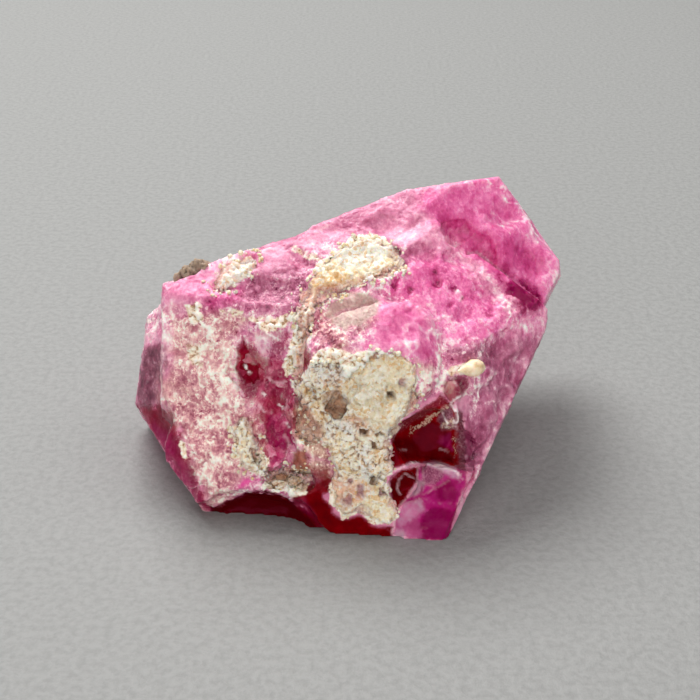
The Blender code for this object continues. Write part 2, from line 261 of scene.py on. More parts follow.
# Parts of the crystal: one or more of kind, amount and softness in pixels, then the outline.
REGIONS = {
    "left facet": (("mauve", 1.0, 4),
        "144,346 158,342 168,346 168,368 161,385 160,404 148,410 136,405 139,378"),
    "left flank": (("clear", 0.75, 5),
        "137,406 160,404 170,412 180,434 186,455 195,476 202,492 208,509 198,505 184,485 170,464 "
        "155,442 145,422"),
    # Painted shadow: the left flank turns down and away from the lamps and is darkened as shade.
    "left flank shade": (("deep", 0.6, 6),
        "137,406 160,404 180,434 202,492 208,509 184,485 155,442 145,422"),
    # Painted shadow on the left facet, which turns away from the lamps.
    "left facet shade": (("deep", 0.2, 5), "144,346 168,346 168,368 160,404 148,410 136,405"),
    "left flank glow": (("magenta", 0.45, 8),
        "152,425 170,435 182,460 200,492 205,508 185,485 170,464 155,442"),
    # Painted light: the shoulder faces up to the lamps and is made paler for it.
    "lit shoulder": (("pale", 0.8, 6), "145,332 158,311 166,320 167,342 158,344 144,346"),
    "top left": (("magenta", 0.45, 8),
        "161,290 188,272 245,252 261,252 255,265 245,280 225,285 215,295 195,300 170,300 162,300"),
    # Painted light: the top face tilts towards the lamps and is made paler for it.
    "top left lit face": (("pale", 0.35, 8), "180,280 210,265 240,255 225,278 210,290 185,292"),
    "top left edge": (("pale", 0.5, 4), "161,290 166,285 170,300 174,315 170,330 165,310"),
    "band": (("deep", 0.3, 8),
        "208,300 220,295 240,280 260,268 280,260 305,260 313,270 310,285 318,292 315,310 295,315 "
        "260,312 240,310 228,305"),
    "band rose": (("magenta", 0.8, 4), ("deep", 0.35, 4),
        "203,302 220,293 246,284 242,296 226,308 210,313"),
    "band mauve": (("mauve", 0.3, 8), "240,285 260,270 290,270 310,285 315,305 295,312 260,310"),
    "top ridge": (("deep", 0.12, 10),
        "260,252 295,232 345,210 408,192 420,198 418,210 395,232 358,232 320,252 295,258"),
    "far": (("magenta", 0.95, 8),
        "420,192 495,175 510,188 530,210 560,252 562,268 550,302 530,312 510,300 495,278 470,260 "
        "452,242 442,228 421,210"),
    "far light": (("pale", 0.3, 12), "428,195 490,180 510,198 520,220 490,215 470,208 445,210"),
    # Painted light along the far crystal's right rim, which is lit from behind.
    "far lit rim": (("pale", 0.8, 12),
        "520,205 540,220 561,252 562,272 550,300 542,280 545,260 530,232"),
    "far deep": (("deep", 0.7, 9), "448,225 468,220 475,235 480,250 465,248 450,238"),
    # Painted shade in the groove between the two crystals, over its own deep magenta.
    "far groove shade": (("deep", 1.6, 11), "502,280 520,280 540,295 538,308 525,311 510,300"),
    "far deep glass": (("clear", 0.9, 9), "505,282 520,282 538,296 536,307 525,310 512,300"),
    "far trough": (("deep", 0.7, 10), "468,238 485,245 510,270 520,285 500,280 480,260"),
    "far shade": (("deep", 0.35, 14), "510,242 530,245 542,272 530,280 515,268"),
    "short top": (("magenta", 0.9, 9),
        "380,275 410,260 442,252 470,270 495,305 510,320 495,342 452,345 432,335 420,310 382,295"),
    "short top shade": (("deep", 0.45, 9), "400,242 420,242 432,250 415,260 402,260"),
    "crest": (("deep", 0.4, 5), "465,260 478,270 490,290 510,310 510,322 495,310 478,285"),
    "dome left": (("rose", 0.9, 6),
        "306,332 310,315 322,300 328,310 335,322 345,332 350,345 338,346 320,345"),
    "dome left shade": (("deep", 0.85, 6),
        "305,332 309,318 320,308 328,320 338,335 335,345 318,344"),
    "oval": (("grey", 0.95, 2),
        "324,312 330,303 340,296 358,292 370,294 380,301 376,313 362,325 345,330 330,324"),
    "oval gleam": (("pale", 0.6, 3), "336,312 345,306 356,308 354,318 344,322 336,318"),
    "oval foot": (("rose", 0.7, 5), ("deep", 0.2, 5),
        "335,322 358,320 372,311 378,320 360,335 345,332"),
    "dome heart": (("magenta", 0.8, 8),
        "378,300 400,300 422,310 438,330 441,360 422,368 408,360 390,352 365,348 360,335 372,320"),
    "dome heart deep": (("deep", 0.1, 9),
        "400,305 420,310 430,335 428,360 415,350 410,330 390,310"),
    "dome pale": (("pale", 0.35, 7), "368,325 390,315 410,325 415,340 395,350 370,348"),
    "dome right": (("pale", 0.55, 5), "430,332 442,345 445,372 430,388 419,392 420,375 438,360"),
    "dome foot": (("rose", 0.8, 6), "415,360 435,368 428,388 415,400 418,380"),
    "right mauve": (("mauve", 0.6, 8),
        "452,351 495,342 542,332 542,352 530,372 510,412 490,452 470,482 464,470 462,412 475,385 "
        "485,372"),
    "right magenta": (("magenta", 0.5, 10),
        "505,312 545,308 545,345 515,412 475,470 464,412 480,372"),
    # Painted shade on the right side, which faces away from the lamps.
    "right side shade": (("deep", 0.25, 10),
        "452,351 495,342 542,340 542,352 510,412 470,482 462,412 475,385"),
    "right light": (("pale", 0.15, 10), "470,380 510,345 540,332 525,372 500,405 480,412"),
    "right top": (("pale", 0.3, 10), "505,320 525,312 545,308 545,340 520,355 502,350"),
    "right deep": (("deep", 0.5, 7), "450,360 470,352 492,345 495,352 480,360 470,358 452,365"),
    # Painted shade on the lowest part of the right side, near the bench.
    "right low shade": (("deep", 0.9, 9), "465,415 478,430 490,435 480,465 468,482 464,460"),
    "shard high": (("clear", 0.7, 3), "442,385 452,375 468,379 470,385 460,398 450,405 445,395"),
    "left face": (("rose", 0.9, 10),
        "168,315 225,310 245,320 238,335 236,380 240,398 260,410 270,440 270,470 238,480 230,498 "
        "208,508 195,475 186,455 180,432 161,402 160,385 169,360"),
    "left face light": (("pale", 0.35, 12),
        "200,365 235,375 238,400 255,410 240,420 225,435 205,430 195,400"),
    "left face low": (("deep", 0.35, 12), "182,430 220,442 232,468 235,492 210,502 195,475"),
    "left face mauve": (("mauve", 0.45, 10),
        "161,385 185,380 195,400 205,430 195,445 178,425 165,405"),
    "upper rose": (("deep", 0.15, 8), "200,322 235,325 238,345 225,355 210,340"),
    "window": (("clear", 0.35, 3), "245,335 270,328 290,332 290,345 280,358 262,360 250,350"),
    "pit": (("clear", 1.0, 3), ("shattered", 0.85, 3),
        "237,345 244,337 251,361 264,369 264,378 254,386 243,382 236,370"),
    "pit rose": (("deep", 0.5, 4), "242,381 262,377 266,394 250,398 240,392"),
    "pit foot": (("deep", 0.6, 4), "242,388 262,384 290,390 292,400 262,402"),
    "neck window": (("deep", 0.45, 3), "269,346 284,340 290,346 289,362 280,368 268,364"),
    "neck light": (("pale", 0.9, 4), "252,336 264,334 270,345 268,360 260,356"),
    "broken vein": (("clear", 0.7, 7),
        "238,350 252,340 262,352 290,362 292,384 300,402 294,440 284,472 268,472 258,430 250,402 "
        "238,388"),
    "broken vein planes": (("shattered", 1.0, 5),
        "264,352 290,362 292,384 300,402 294,440 284,472 268,472 258,430 250,402 256,390 268,378"),
    "sparkle rose": (("deep", 0.35, 5), "264,372 288,372 292,388 280,398 264,392"),
    "pool": (("clear", 0.85, 3),
        "254,398 273,396 284,398 296,402 294,409 285,415 281,421 291,432 294,445 286,447 282,437 "
        "275,440 267,438 257,418"),
    "pool deep": (("deep", 0.5, 4), "260,400 284,400 294,405 283,414 279,430 270,434 262,418"),
    "stripe": (("clear", 0.9, 2), "273,435 281,434 280,460 277,471 271,468"),
    "pool magenta": (("magenta", 0.75, 4),
        "266,415 284,412 294,432 294,446 282,448 282,470 269,472 268,440"),
    "vein shadow": (("clear", 0.75, 2.5), "295,348 306,345 311,355 308,372 296,371"),
    "hollow": (("clear", 1.0, 1.5),
        "389,455 392,438 402,422 420,410 440,395 448,400 455,410 463,413 463,435 466,470 445,466 "
        "413,462 392,468"),
    "hollow slab": (("rosy glass", 0.9, 2),
        "398,428 403,417 421,404 443,395 451,402 440,406 422,417 410,423 400,431"),
    "hollow dark": (("deep", 0.9, 4),
        "392,440 412,436 428,422 440,420 452,436 448,450 455,464 430,461 412,459 392,464"),
    # Dust in the hollow, with painted glints glittering in it.
    "hollow dust": (("dusty glinting glass", 1.0, 3),
        "404,437 411,426 428,416 447,403 450,408 436,418 420,430 409,440"),
    "hollow lilac": (("mauve", 1.0, 2), ("pale", 0.35, 3),
        "438,420 443,409 452,407 457,428 443,430"),
    "hollow sparks": (("dusty glinting glass", 0.9, 2), "442,422 450,416 455,412 457,428 440,430"),
    "hollow plum": (("magenta", 0.6, 3), "440,436 450,434 452,450 444,448 438,443"),
    "hollow strip": (("dusty glinting glass", 0.8, 2), "450,434 457,434 458,457 453,458"),
    "hollow wall": (("mauve", 1.0, 3), "457,412 464,411 466,432 467,470 459,468 458,440"),
    "small hollow": (("clear", 1.0, 2), "390,481 402,470 418,468 418,482 408,496 398,509 392,504"),
    "small hollow dark": (("deep", 0.8, 3),
        "390,481 404,474 416,470 416,482 407,494 398,506 392,502"),
    "foot": (("clear", 0.85, 1.5), ("magenta", 1.0, 2),
        "392,536 398,515 408,496 418,482 420,466 445,466 466,470 468,485 460,498 448,541"),
    "foot high facet": (("mauve", 0.9, 2), "423,467 438,468 446,474 436,486 423,483"),
    "foot lilac facet": (("pale", 1.0, 2), "417,480 423,483 421,495 407,499 409,492"),
    "foot crumple": (("pale", 1.0, 2), "424,462 440,462 456,467 459,479 446,474 432,468"),
    # A pale broken facet of the foot, with a painted highlight on it.
    "foot bright facet and highlight": (("pale", 0.9, 2.5), "397,513 406,502 420,498 424,508 412,522 398,530"),
    "foot low light": (("pale", 0.3, 3), "397,513 417,499 424,510 418,520 424,538 392,537"),
    "foot low edge": (("pale", 0.8, 3), "391,537 394,526 404,527 408,538 400,540"),
    "foot dark": (("deep", 1.0, 2.5), "421,516 434,508 446,506 457,512 448,540 424,539 421,528"),
    "foot dark right": (("deep", 1.0, 3), "436,487 448,480 459,492 456,502 440,500"),
    "base red": (("clear", 1.0, 2), ("deep", 0.5, 4),
        "304,504 306,495 320,486 330,505 340,520 360,515 372,525 393,527 394,548 320,548 310,526"),
    "base maroon": (("clear", 0.95, 3), "292,502 296,494 309,485 330,476 332,492 320,496 308,512"),
    "base purple": (("clear", 0.7, 4), "307,470 330,468 334,490 318,490 308,484"),
    "base glow": (("magenta", 0.2, 3), "292,500 304,498 314,512 322,530 310,518 298,508"),
    "arch": (("clear", 1.0, 2),
        "212,508 224,504 240,497 252,491 280,493 296,503 308,510 330,532 322,545 205,530"),
    # Painted shadow under the arch: the keel's wall is darkened where the overhang keeps light off
    # it.
    "arch shade": (("deep", 1.4, 4),
        "212,508 224,504 240,497 252,491 280,493 296,505 308,514 322,532 320,545 205,530"),
    "hot pink": (("hot", 1.0, 2), "236,489 245,479 265,478 260,481 248,485"),
    "peach": (("peach", 0.95, 4),
        "288,412 300,400 310,415 320,430 332,458 320,458 305,448 292,438"),
    "peach low": (("peach", 0.8, 4), "310,458 332,462 335,475 325,482 310,470"),
    "dome peach": (("peach", 0.6, 6), "315,348 338,346 355,352 345,378 325,385 315,372"),
    "stain": (("stain", 1.0, 3), "292,451 305,450 308,468 300,472 288,478 282,474 292,465"),
    "dust top left": (("cream", 0.95, 5), "184,304 202,302 204,320 192,324 186,318"),
    "dust ledge": (("cream", 0.66, 5),
        "218,308 232,303 241,310 260,314 280,316 295,314 292,322 280,328 268,333 255,327 238,319 "
        "220,318"),
    "dust streak": (("cream", 0.95, 5), "186,345 198,344 203,360 200,368 190,366"),
    "dust small": (("cream", 1.0, 2.5), "180,440 186,442 188,458 184,461 179,452"),
    "dust patch": (("cream", 0.85, 5),
        "230,426 245,418 252,430 256,448 268,460 268,476 250,476 237,466 232,448"),
    "dust corner": (("cream", 0.9, 4), "215,290 220,275 232,262 250,258 256,262 252,278 235,285"),
    "dust upper": (("cream", 1.0, 3),
        "310,283 320,260 335,252 352,238 370,232 392,242 398,253 406,260 402,270 385,270 370,280 "
        "358,283 338,290 318,293 313,303 306,310 300,332 292,360 285,370 282,365 290,345 295,322 "
        "280,328 268,332 255,328 268,320 295,310 310,300"),
    "dust high streak": (("cream", 0.75, 3),
        "287,244 300,247 316,254 332,256 328,264 308,262 292,254"),
    "dust vein": (("cream", 0.9, 3),
        "305,298 317,297 310,330 304,352 298,374 285,376 284,360 292,340 298,318"),
    "grain tail": (("cream", 0.8, 2.5), "446,372 452,365 466,362 470,368 462,374 452,376"),
    "dust main": (("cream", 1.0, 3),
        "313,356 328,346 352,353 385,350 403,358 418,378 418,398 408,413 398,423 398,430 390,438 "
        "389,458 395,470 388,478 393,508 398,516 390,524 373,526 360,513 343,520 338,510 328,503 "
        "328,486 336,476 333,460 320,442 315,430 305,420 300,400 292,385 304,374 310,364"),
    "dust arch": (("cream", 1.0, 3),
        "258,486 280,472 296,466 310,470 308,483 306,493 296,496 280,493"),
}

# Calm places, where the skin is smooth and its mottling faint: amount, softness, outline.
CALM = {
    "far crystal": (0.75, 14, "405,170 560,150 590,320 530,320 440,235"),
    "left side": (0.6, 8, "120,330 172,330 172,420 205,515 120,515"),
    "top left": (0.7, 10, "150,300 245,240 262,255 215,300 165,310"),
    "top": (0.7, 12, "245,240 420,180 470,260 400,250 330,240 262,280"),
    "short top": (0.55, 12, "400,240 470,240 520,320 500,345 440,345 400,290"),
    "right side": (0.7, 16, "495,330 560,300 560,430 480,500 470,420"),
    "dome": (0.75, 8, "378,300 425,305 440,350 420,370 370,345"),
    "glass": (1.0, 3, "390,395 470,395 470,475 390,475"),
    "foot": (1.0, 3, "388,465 475,462 470,545 300,545 300,500"),
}

# Places where the solid's own edges and scoops are evened out: amount, softness, outline.
EVENED = {
    "oval": (1.0, 6, "315,295 340,282 375,282 388,300 372,322 345,335 322,325"),
    "pit": (0.8, 6, "232,345 244,335 268,345 270,392 240,398"),
    "far": (0.7, 12, "425,210 500,185 560,255 548,300 505,290 450,240"),
    "short top": (0.6, 8, "420,265 470,265 515,320 470,335 430,310"),
}

# Pits: middle and radius in pixels, depth in millimetres.
PITS = {
    "top pit a": ((438, 285), 5, 0.05),
    "top pit b": ((453, 289), 4, 0.06),
    "top pit c": ((394, 288), 4, 0.03),
    "top pit d": ((410, 291), 4, 0.03),
    "top pit e": ((491, 310), 5, 0.04),
    "top pit f": ((451, 305), 4, 0.03),
    "top pit g": ((436, 273), 4, 0.03),
    "top pit h": ((463, 298), 3, 0.03),
    "crust hole": ((246, 372), 8, 0.08),
    "neck hole": ((243, 350), 4, 0.04),
    "vein hole": ((302, 362), 5, 0.05),
    "dome mark a": ((309, 333), 3, 0.02),
    "dome mark b": ((330, 341), 4, 0.025),
}

# Lines: kind, width in pixels, amount, lift in millimetres, then one or more lines.
LINES = {
    "front left edge": ("pale", 3.5, 0.7, 0.02, "163,345 162,402 180,430 203,462 218,500"),
    "face fold a": ("pale", 2.2, 0.6, 0.02, "168,405 185,425 197,452 212,490"),
    "face fold b": ("pale", 2.2, 0.9, 0.03, "188,400 203,408 200,425"),
    "face creases": ("pale", 2.0, 0.7, 0.02, "205,395 225,380 237,385", "240,340 228,352 222,366"),
    "dome border": ("pale", 3.0, 0.9, 0.03, "325,291 312,303 303,318 300,345 297,372"),
    "dome border cream": ("cream", 4.0, 0.8, 0.0, "336,286 318,300 306,318 301,345 298,385"),
    "dome ridge": ("pale", 7.0, 0.5, 0.0, "434,325 438,345 439,380"),
    "oval rim": ("pale", 2.0, 0.9, 0.03, "322,308 335,296 352,292 370,297 378,304"),
    "crust shade": ("deep", 4.0, 1.0, -0.02, "362,284 378,274 392,268 407,263"),
    "ring": ("white", 2.0, 1.0, 0.04, "367,286 369,279 376,277 384,280 381,287 372,290 367,286"),
    "crest edge": ("pale", 3.5, 0.4, 0.04, "458,254 470,266 482,287 497,304 510,322"),
    "squiggle": ("pale", 2.0, 0.5, 0.0, "262,297 270,290 278,286 288,287 293,294"),
    "hollow rim right": ("glint", 2.0, 0.6, 0.02, "443,396 455,408 457,425 456,440"),
    "hollow left rim": ("glint", 2.0, 0.4, 0.01, "389,456 393,438 402,424"),
    "hollow scratches": ("glint", 1.8, 0.6, 0.0,
        "440,449 447,451 454,457", "396,449 401,450 406,450"),
    "foot rim": ("white", 2.0, 0.8, 0.02, "412,463 424,463 443,466 457,472 463,480"),
    "foot left edge": ("glint", 2.0, 0.8, 0.02, "394,471 411,463"),
    "foot low left edge": ("glint", 2.0, 0.6, 0.01, "418,466 417,482 408,497 399,506 392,533"),
    "foot right edge": ("glint", 1.8, 0.6, 0.01, "457,472 462,490 461,503"),
    "foot planes": ("glint", 1.6, 0.6, 0.01, "418,466 417,482 422,495", "422,495 438,487 450,480"),
    "foot plane low": ("glint", 1.6, 0.5, 0.01, "408,503 422,498 440,504 458,503"),
    "hollow breaks": ("white", 1.8, 0.9, 0.02,
        "441,409 447,404 455,406", "442,412 448,424 441,427", "456,404 458,420 452,427"),
    "foot crease": ("glint", 1.8, 0.5, 0.01, "423,466 423,483 436,487"),
    "foot crease low": ("deep", 2.0, 0.6, 0.0, "408,500 424,497 440,490"),
    "loop": ("glint", 2.0, 0.9, 0.03, "405,473 398,481 397,489 400,494"),
    "loop cross": ("glint", 1.8, 0.8, 0.02, "405,473 410,476 414,478"),
    "shard edges": ("glint", 1.8, 0.6, 0.02, "444,394 452,376 456,385"),
    "shard low edges": ("white", 1.8, 0.8, 0.02, "450,404 456,398 464,394"),
    "hollow sparks": ("white", 2.2, 1.0, 0.02, "443,425 447,427", "453,407 455,411"),
    "hollow spark low": ("white", 2.0, 1.0, 0.02, "454,421 456,427"),
    "pit rim": ("pale", 2.2, 0.8, 0.02, "236,362 236,382 243,396"),
    "pit glint": ("white", 3.0, 1.0, 0.0, "235,381 236,388"),
    "pit sparks": ("white", 2.2, 1.0, 0.0, "240,354 240,358", "243,364 246,368", "249,372 251,374"),
    "vein sparks": ("white", 2.0, 1.0, 0.0,
        "262,392 265,395", "279,404 282,409", "285,424 288,427"),
    "vein glints": ("glint", 2.0, 0.7, 0.02,
        "258,404 264,412 272,413", "268,378 276,384 285,383", "283,434 289,446 284,456"),
    "window scratch": ("white", 2.0, 0.7, 0.02, "268,334 285,343"),
    "grain line": ("pale", 2.4, 0.9, 0.02, "441,383 446,370 452,366"),
    "top grain": ("white", 5.0, 1.0, 0.05, "457,293 461,298"),
    "edge grain": ("white", 4.0, 1.0, 0.04, "403,267 408,269"),
}

# What the crystal is marked with.  Deep and pale hold its own deeper and paler colour and also
# painted shade and painted light; white holds white chips and also painted glints.
KINDS = ("clear", "rosy glass", "dusty glinting glass", "deep", "pale", "magenta", "mauve", "rose", "hot",
         "peach", "grey", "stain", "cream", "white", "glint", "shattered")

# How the sides that the picture doesn't show are mottled: amount, noise, its lowest and highest.
HIDDEN = {
    "magenta": (0.8, (4.0, 2, 71), (-0.3, 0.4)),
    "mauve": (0.7, (3.0, 3, 73), (0.0, 0.5)),
    "deep": (0.6, (2.0, 3, 75), (0.1, 0.6)),
}
HIDDEN_CALM = 0.5

# Places on the crusts: kind, softness in pixels, then one or more outlines.
CRUST_PLACES = {
    # Holes and pores are sunk and darkened: their own brown, with painted shade in them.
    "brown hole": ("hole", 3, "331,399 340,397 347,404 347,412 339,418 331,416 327,409"),
    "hole slope": ("brown", 3, "319,394 329,391 341,394 349,403 347,413 337,420 327,414 322,404"),
    "dark pores": ("hole", 2,
        "388,393 394,393 395,399 389,400", "372,442 377,443 377,450 372,449",
        "360,431 367,431 367,436 361,436"),
    "mauve pores": ("mauve", 2,
        "400,380 405,380 405,386 400,385", "379,488 386,487 387,495 380,496",
        "346,479 353,479 354,484 347,485", "357,486 363,487 364,498 358,497"),
    "pore low": ("hole", 3, "371,476 378,475 380,483 373,485"),
    "pore side": ("mauve", 3, "342,500 350,499 352,507 344,508"),
    "peach left": ("peach", 3, "286,404 304,400 316,420 328,446 330,462 312,458 290,440"),
    "arch grey": ("hole", 3, "268,484 282,480 286,486 274,490"),
    "arch brown": ("brown", 4, "256,488 270,476 296,464 312,468 312,484 306,496 296,498 278,494"),
    "stain brown": ("brown", 3, "290,448 305,448 310,468 300,474 288,480 280,475 290,464"),
    "corner white": ("white", 5, "212,292 218,272 232,260 252,256 258,262 252,280 235,288"),
    "rosy vein": ("rosy", 4, "298,300 317,297 312,330 304,352 298,374 285,376 284,360 292,340"),
    "patch brown": ("hole", 3, "251,450 258,452 262,464 256,462"),
    "rosy side": ("rosy", 6, "318,372 340,368 346,376 338,390 318,390"),
    "rosy low": ("rosy", 5,
        "345,412 358,412 372,432 360,436 344,424", "328,480 350,478 372,490 360,505 335,500"),
    "grey knob": ("grey", 8, "352,376 378,368 392,384 392,408 372,420 355,410"),
    "knob rim": ("rim", 3, "372,348 394,346 414,362 420,388 408,388 402,368 385,357"),
    # Painted light: this part of the crust faces down, away from the lamps, and is whitened to make
    # up for it.
    "neck painted light": ("white", 5, "312,352 345,350 350,366 342,384 316,384"),
    "white granules": ("white", 3,
        "322,420 332,418 338,432 334,444 325,436", "342,424 350,422 357,430 355,441 345,440"),
    "white low": ("white", 5, "357,440 374,442 376,482 362,480 356,460"),
    "white upper": ("white", 8, "330,250 352,236 380,234 398,250 372,262 340,272"),
    "blurred": ("soft", 8,
        "295,300 310,255 350,230 400,228 412,262 380,285 330,305",
        "345,345 420,345 428,400 400,430 352,420 345,390", "325,480 400,480 400,535 325,535"),
    "blurred corner": ("soft", 6, "205,302 212,262 255,248 268,262 255,285 235,296"),
    "golden sides": ("tan", 4,
        "302,388 310,386 322,406 330,424 340,450 346,468 336,470 326,446 314,418",
        "340,492 356,490 360,502 346,506"),
    "golden right": ("tan", 3, "374,448 386,446 389,464 377,466"),
    "golden upper": ("tan", 5, "308,270 335,268 352,280 330,292 312,298 300,310"),
}
CRUST_KINDS = ("rim", "brown", "hole", "rosy", "white", "grey", "mauve", "tan", "peach", "soft")

# How far behind the front a point may lie and still be seen.
BEHIND_MM = 0.45
# Outlines wobble by noise and by chips, over a few pixels more than their softness.
WOBBLE_SHARES = (0.7, 0.3)
WOBBLE_LEAST_PX = 2
# Where a line fades, as parts of its width, and where noise interrupts it.
LINE_CORE, LINE_EDGE = 0.3, 0.8
LINE_GAPS = (-0.4, 0.25)
# Where a pit fades, as parts of its radius, and how dark its floor is painted, a painted shade.
PIT_WOBBLE = 1.2
PIT_CORE, PIT_EDGE = 0.4, 1.3
PIT_FLOOR_SHADE = 0.8
# Keeps a stretch between two equal points from dividing by zero.
NO_LENGTH = 1e-9


def pixel_list(text):
    """Pixels written as "x,y x,y", as an array."""
    return np.array([pair.split(",") for pair in text.split()], float)


def seen_share(points, tree):
    """1 for points that the camera sees, falling to 0 for those further behind others."""
    behind = np.zeros(len(points))
    for k, point in enumerate(points):
        away = Vector(point) - EYE
        reach = away.length
        hit = tree.ray_cast(EYE, away / reach)[3]
        behind[k] = reach - hit if hit is not None else 0.0
    return 1 - smooth_step(behind, BEHIND_MM, 2 * BEHIND_MM)


def inside_share(pixels, outline, softness, wobble=0.0):
    """1 well inside an outline, 0 well outside, passing softly over its border."""
    corners = pixel_list(outline)
    distance = np.full(len(pixels), np.inf)
    inside = np.zeros(len(pixels), bool)
    x, y = pixels[:, 0], pixels[:, 1]
    for (x0, y0), (x1, y1) in zip(corners, np.roll(corners, -1, axis=0)):
        along = np.array((x1 - x0, y1 - y0))
        part = ((x - x0) * along[0] + (y - y0) * along[1]) / max(along @ along, NO_LENGTH)
        part = np.clip(part, 0, 1)
        gap = np.hypot(x - x0 - part * along[0], y - y0 - part * along[1])
        distance = np.minimum(distance, gap)
        if y0 != y1:
            inside ^= ((y0 > y) != (y1 > y)) & (x < (x1 - x0) * (y - y0) / (y1 - y0) + x0)
    signed = np.where(inside, distance, -distance)
    return smooth_step(signed + wobble, -softness, softness)


def line_share(pixels, line, width):
    """1 on a line drawn in pixels, 0 beyond its width."""
    path = pixel_list(line)
    nearest = np.full(len(pixels), np.inf)
    for start, end in zip(path, path[1:]):
        along = end - start
        part = np.clip((pixels - start) @ along / max(along @ along, NO_LENGTH), 0, 1)
        gap = np.linalg.norm(pixels - start - part[:, None] * along, axis=1)
        nearest = np.minimum(nearest, gap)
    return 1 - smooth_step(nearest, LINE_CORE * width, LINE_EDGE * width)


def feature_shares(points, tree):
    """The share of every kind of mark at each point, the lift of the surface, and the calm."""
    pixels = pixels_of(points)
    seen = seen_share(points, tree)
    by_noise, by_chips = WOBBLE_SHARES
    wobble = (by_noise * noise(points, "outline wobble")
              + by_chips * chips(points, "outline wobble"))
    shares = {kind: np.zeros(len(points)) for kind in KINDS}
    lift = np.zeros(len(points))

    def add(kind, share):
        shares[kind] = np.maximum(shares[kind], share)

    for *finishes, outline in REGIONS.values():
        for kind, amount, softness in finishes:
            shift = wobble * (WOBBLE_LEAST_PX + softness)
            add(kind, amount * seen * inside_share(pixels, outline, softness, shift))
    broken = seen * smooth_step(noise(points, "line gaps"), *LINE_GAPS)
    for kind, width, amount, height, *lines in LINES.values():
        for line in lines:
            share = broken * line_share(pixels, line, width)
            add(kind, amount * share)
            lift += height * share
    for middle, radius, depth in PITS.values():
        away = np.linalg.norm(pixels - np.array(middle), axis=1) / radius
        share = seen * (1 - smooth_step(away + PIT_WOBBLE * wobble, PIT_CORE, PIT_EDGE))
        lift -= depth * share
        # Painted shade on the pit's floor.
        add("deep", PIT_FLOOR_SHADE * share)
    hidden = 1 - seen
    for kind, (amount, mottle, reach) in HIDDEN.items():
        add(kind, amount * hidden * smooth_step(layered(points, *mottle), *reach))
    calm = HIDDEN_CALM * hidden
    for amount, softness, outline in CALM.values():
        calm = np.maximum(calm, amount * seen * inside_share(pixels, outline, softness))
    return shares, lift, calm


# ---------------------------------------------------------------- meshes

WELD_MM = 0.0005


def with_modifiers(shape, *steps):
    """Apply modifiers, each given as its kind and settings, to the shape's mesh."""
    for kind, settings in steps:
        step = shape.modifiers.new(kind, kind)
        for key, value in settings.items():
            setattr(step, key, value)
    graph = bpy.context.evaluated_depsgraph_get()
    mesh = bpy.data.meshes.new_from_object(shape.evaluated_get(graph))
    shape.modifiers.clear()
    shape.data = mesh
    return shape


def fine_copy(name, node, voxel):
    """A closed fine mesh of a solid, in millimetres."""
    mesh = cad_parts[node].data.copy()
    mesh.transform(TO_MILLIMETRES)
    mesh.materials.clear()
    return with_modifiers(
        add_object(name, mesh),
        ("WELD", {"merge_threshold": WELD_MM}),
        ("REMESH", {"mode": "VOXEL", "voxel_size": voxel, "use_smooth_shade": True}),
    )


def mesh_arrays(mesh):
    """The points and their outward directions."""
    points = np.zeros(len(mesh.vertices) * 3)
    mesh.vertices.foreach_get("co", points)
    outward = np.zeros(len(mesh.vertices) * 3)
    mesh.vertices.foreach_get("normal", outward)
    return points.reshape(-1, 3), outward.reshape(-1, 3)


def set_points(mesh, points):
    mesh.vertices.foreach_set("co", points.astype(np.float32).ravel())
    mesh.update()


def mark(mesh, name, values):
    """Keep a share on the mesh's points for the material to read."""
    attribute = mesh.attributes.new(name, "FLOAT", "POINT")
    attribute.data.foreach_set("value", values.astype(np.float32))


def edge_array(mesh):
    edges = np.zeros(len(mesh.edges) * 2, np.int64)
    mesh.edges.foreach_get("vertices", edges)
    return edges.reshape(-1, 2)


def eased(values, edges, rounds):
    """Points evened out along the mesh's edges."""
    count = np.bincount(edges.ravel(), minlength=len(values))
    count = np.maximum(count, 1)[:, None]
    for _ in range(rounds):
        total = np.zeros_like(values)
        np.add.at(total, edges[:, 0], values[edges[:, 1]])
        np.add.at(total, edges[:, 1], values[edges[:, 0]])
        values = 0.5 * values + 0.5 * total / count
    return values


def dress(mesh, material):
    """Scale a finished mesh to metres and give it its looks."""
    mesh.transform(TO_METRES)
    mesh.materials.clear()
    mesh.materials.append(material)
    mesh.shade_smooth()


def finish_piece(shape, node, material):
    """Hand a piece to the frame in place of its solid."""
    dress(shape.data, material)
    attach(shape, BODY)
    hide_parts(node)


def surface_tree(mesh):
    return BVHTree.FromPolygons([v.co for v in mesh.vertices], [p.vertices for p in mesh.polygons])


# ---------------------------------------------------------------- colours


def tint(red, green, blue):
    """A screen colour from 0 to 255 as the shader's linear colour."""
    screen = [part / 255 for part in (red, green, blue)]
    return (*(c / 12.92 if c <= 10 / 255 else ((c + 0.055) / 1.055) ** 2.4 for c in screen), 1)
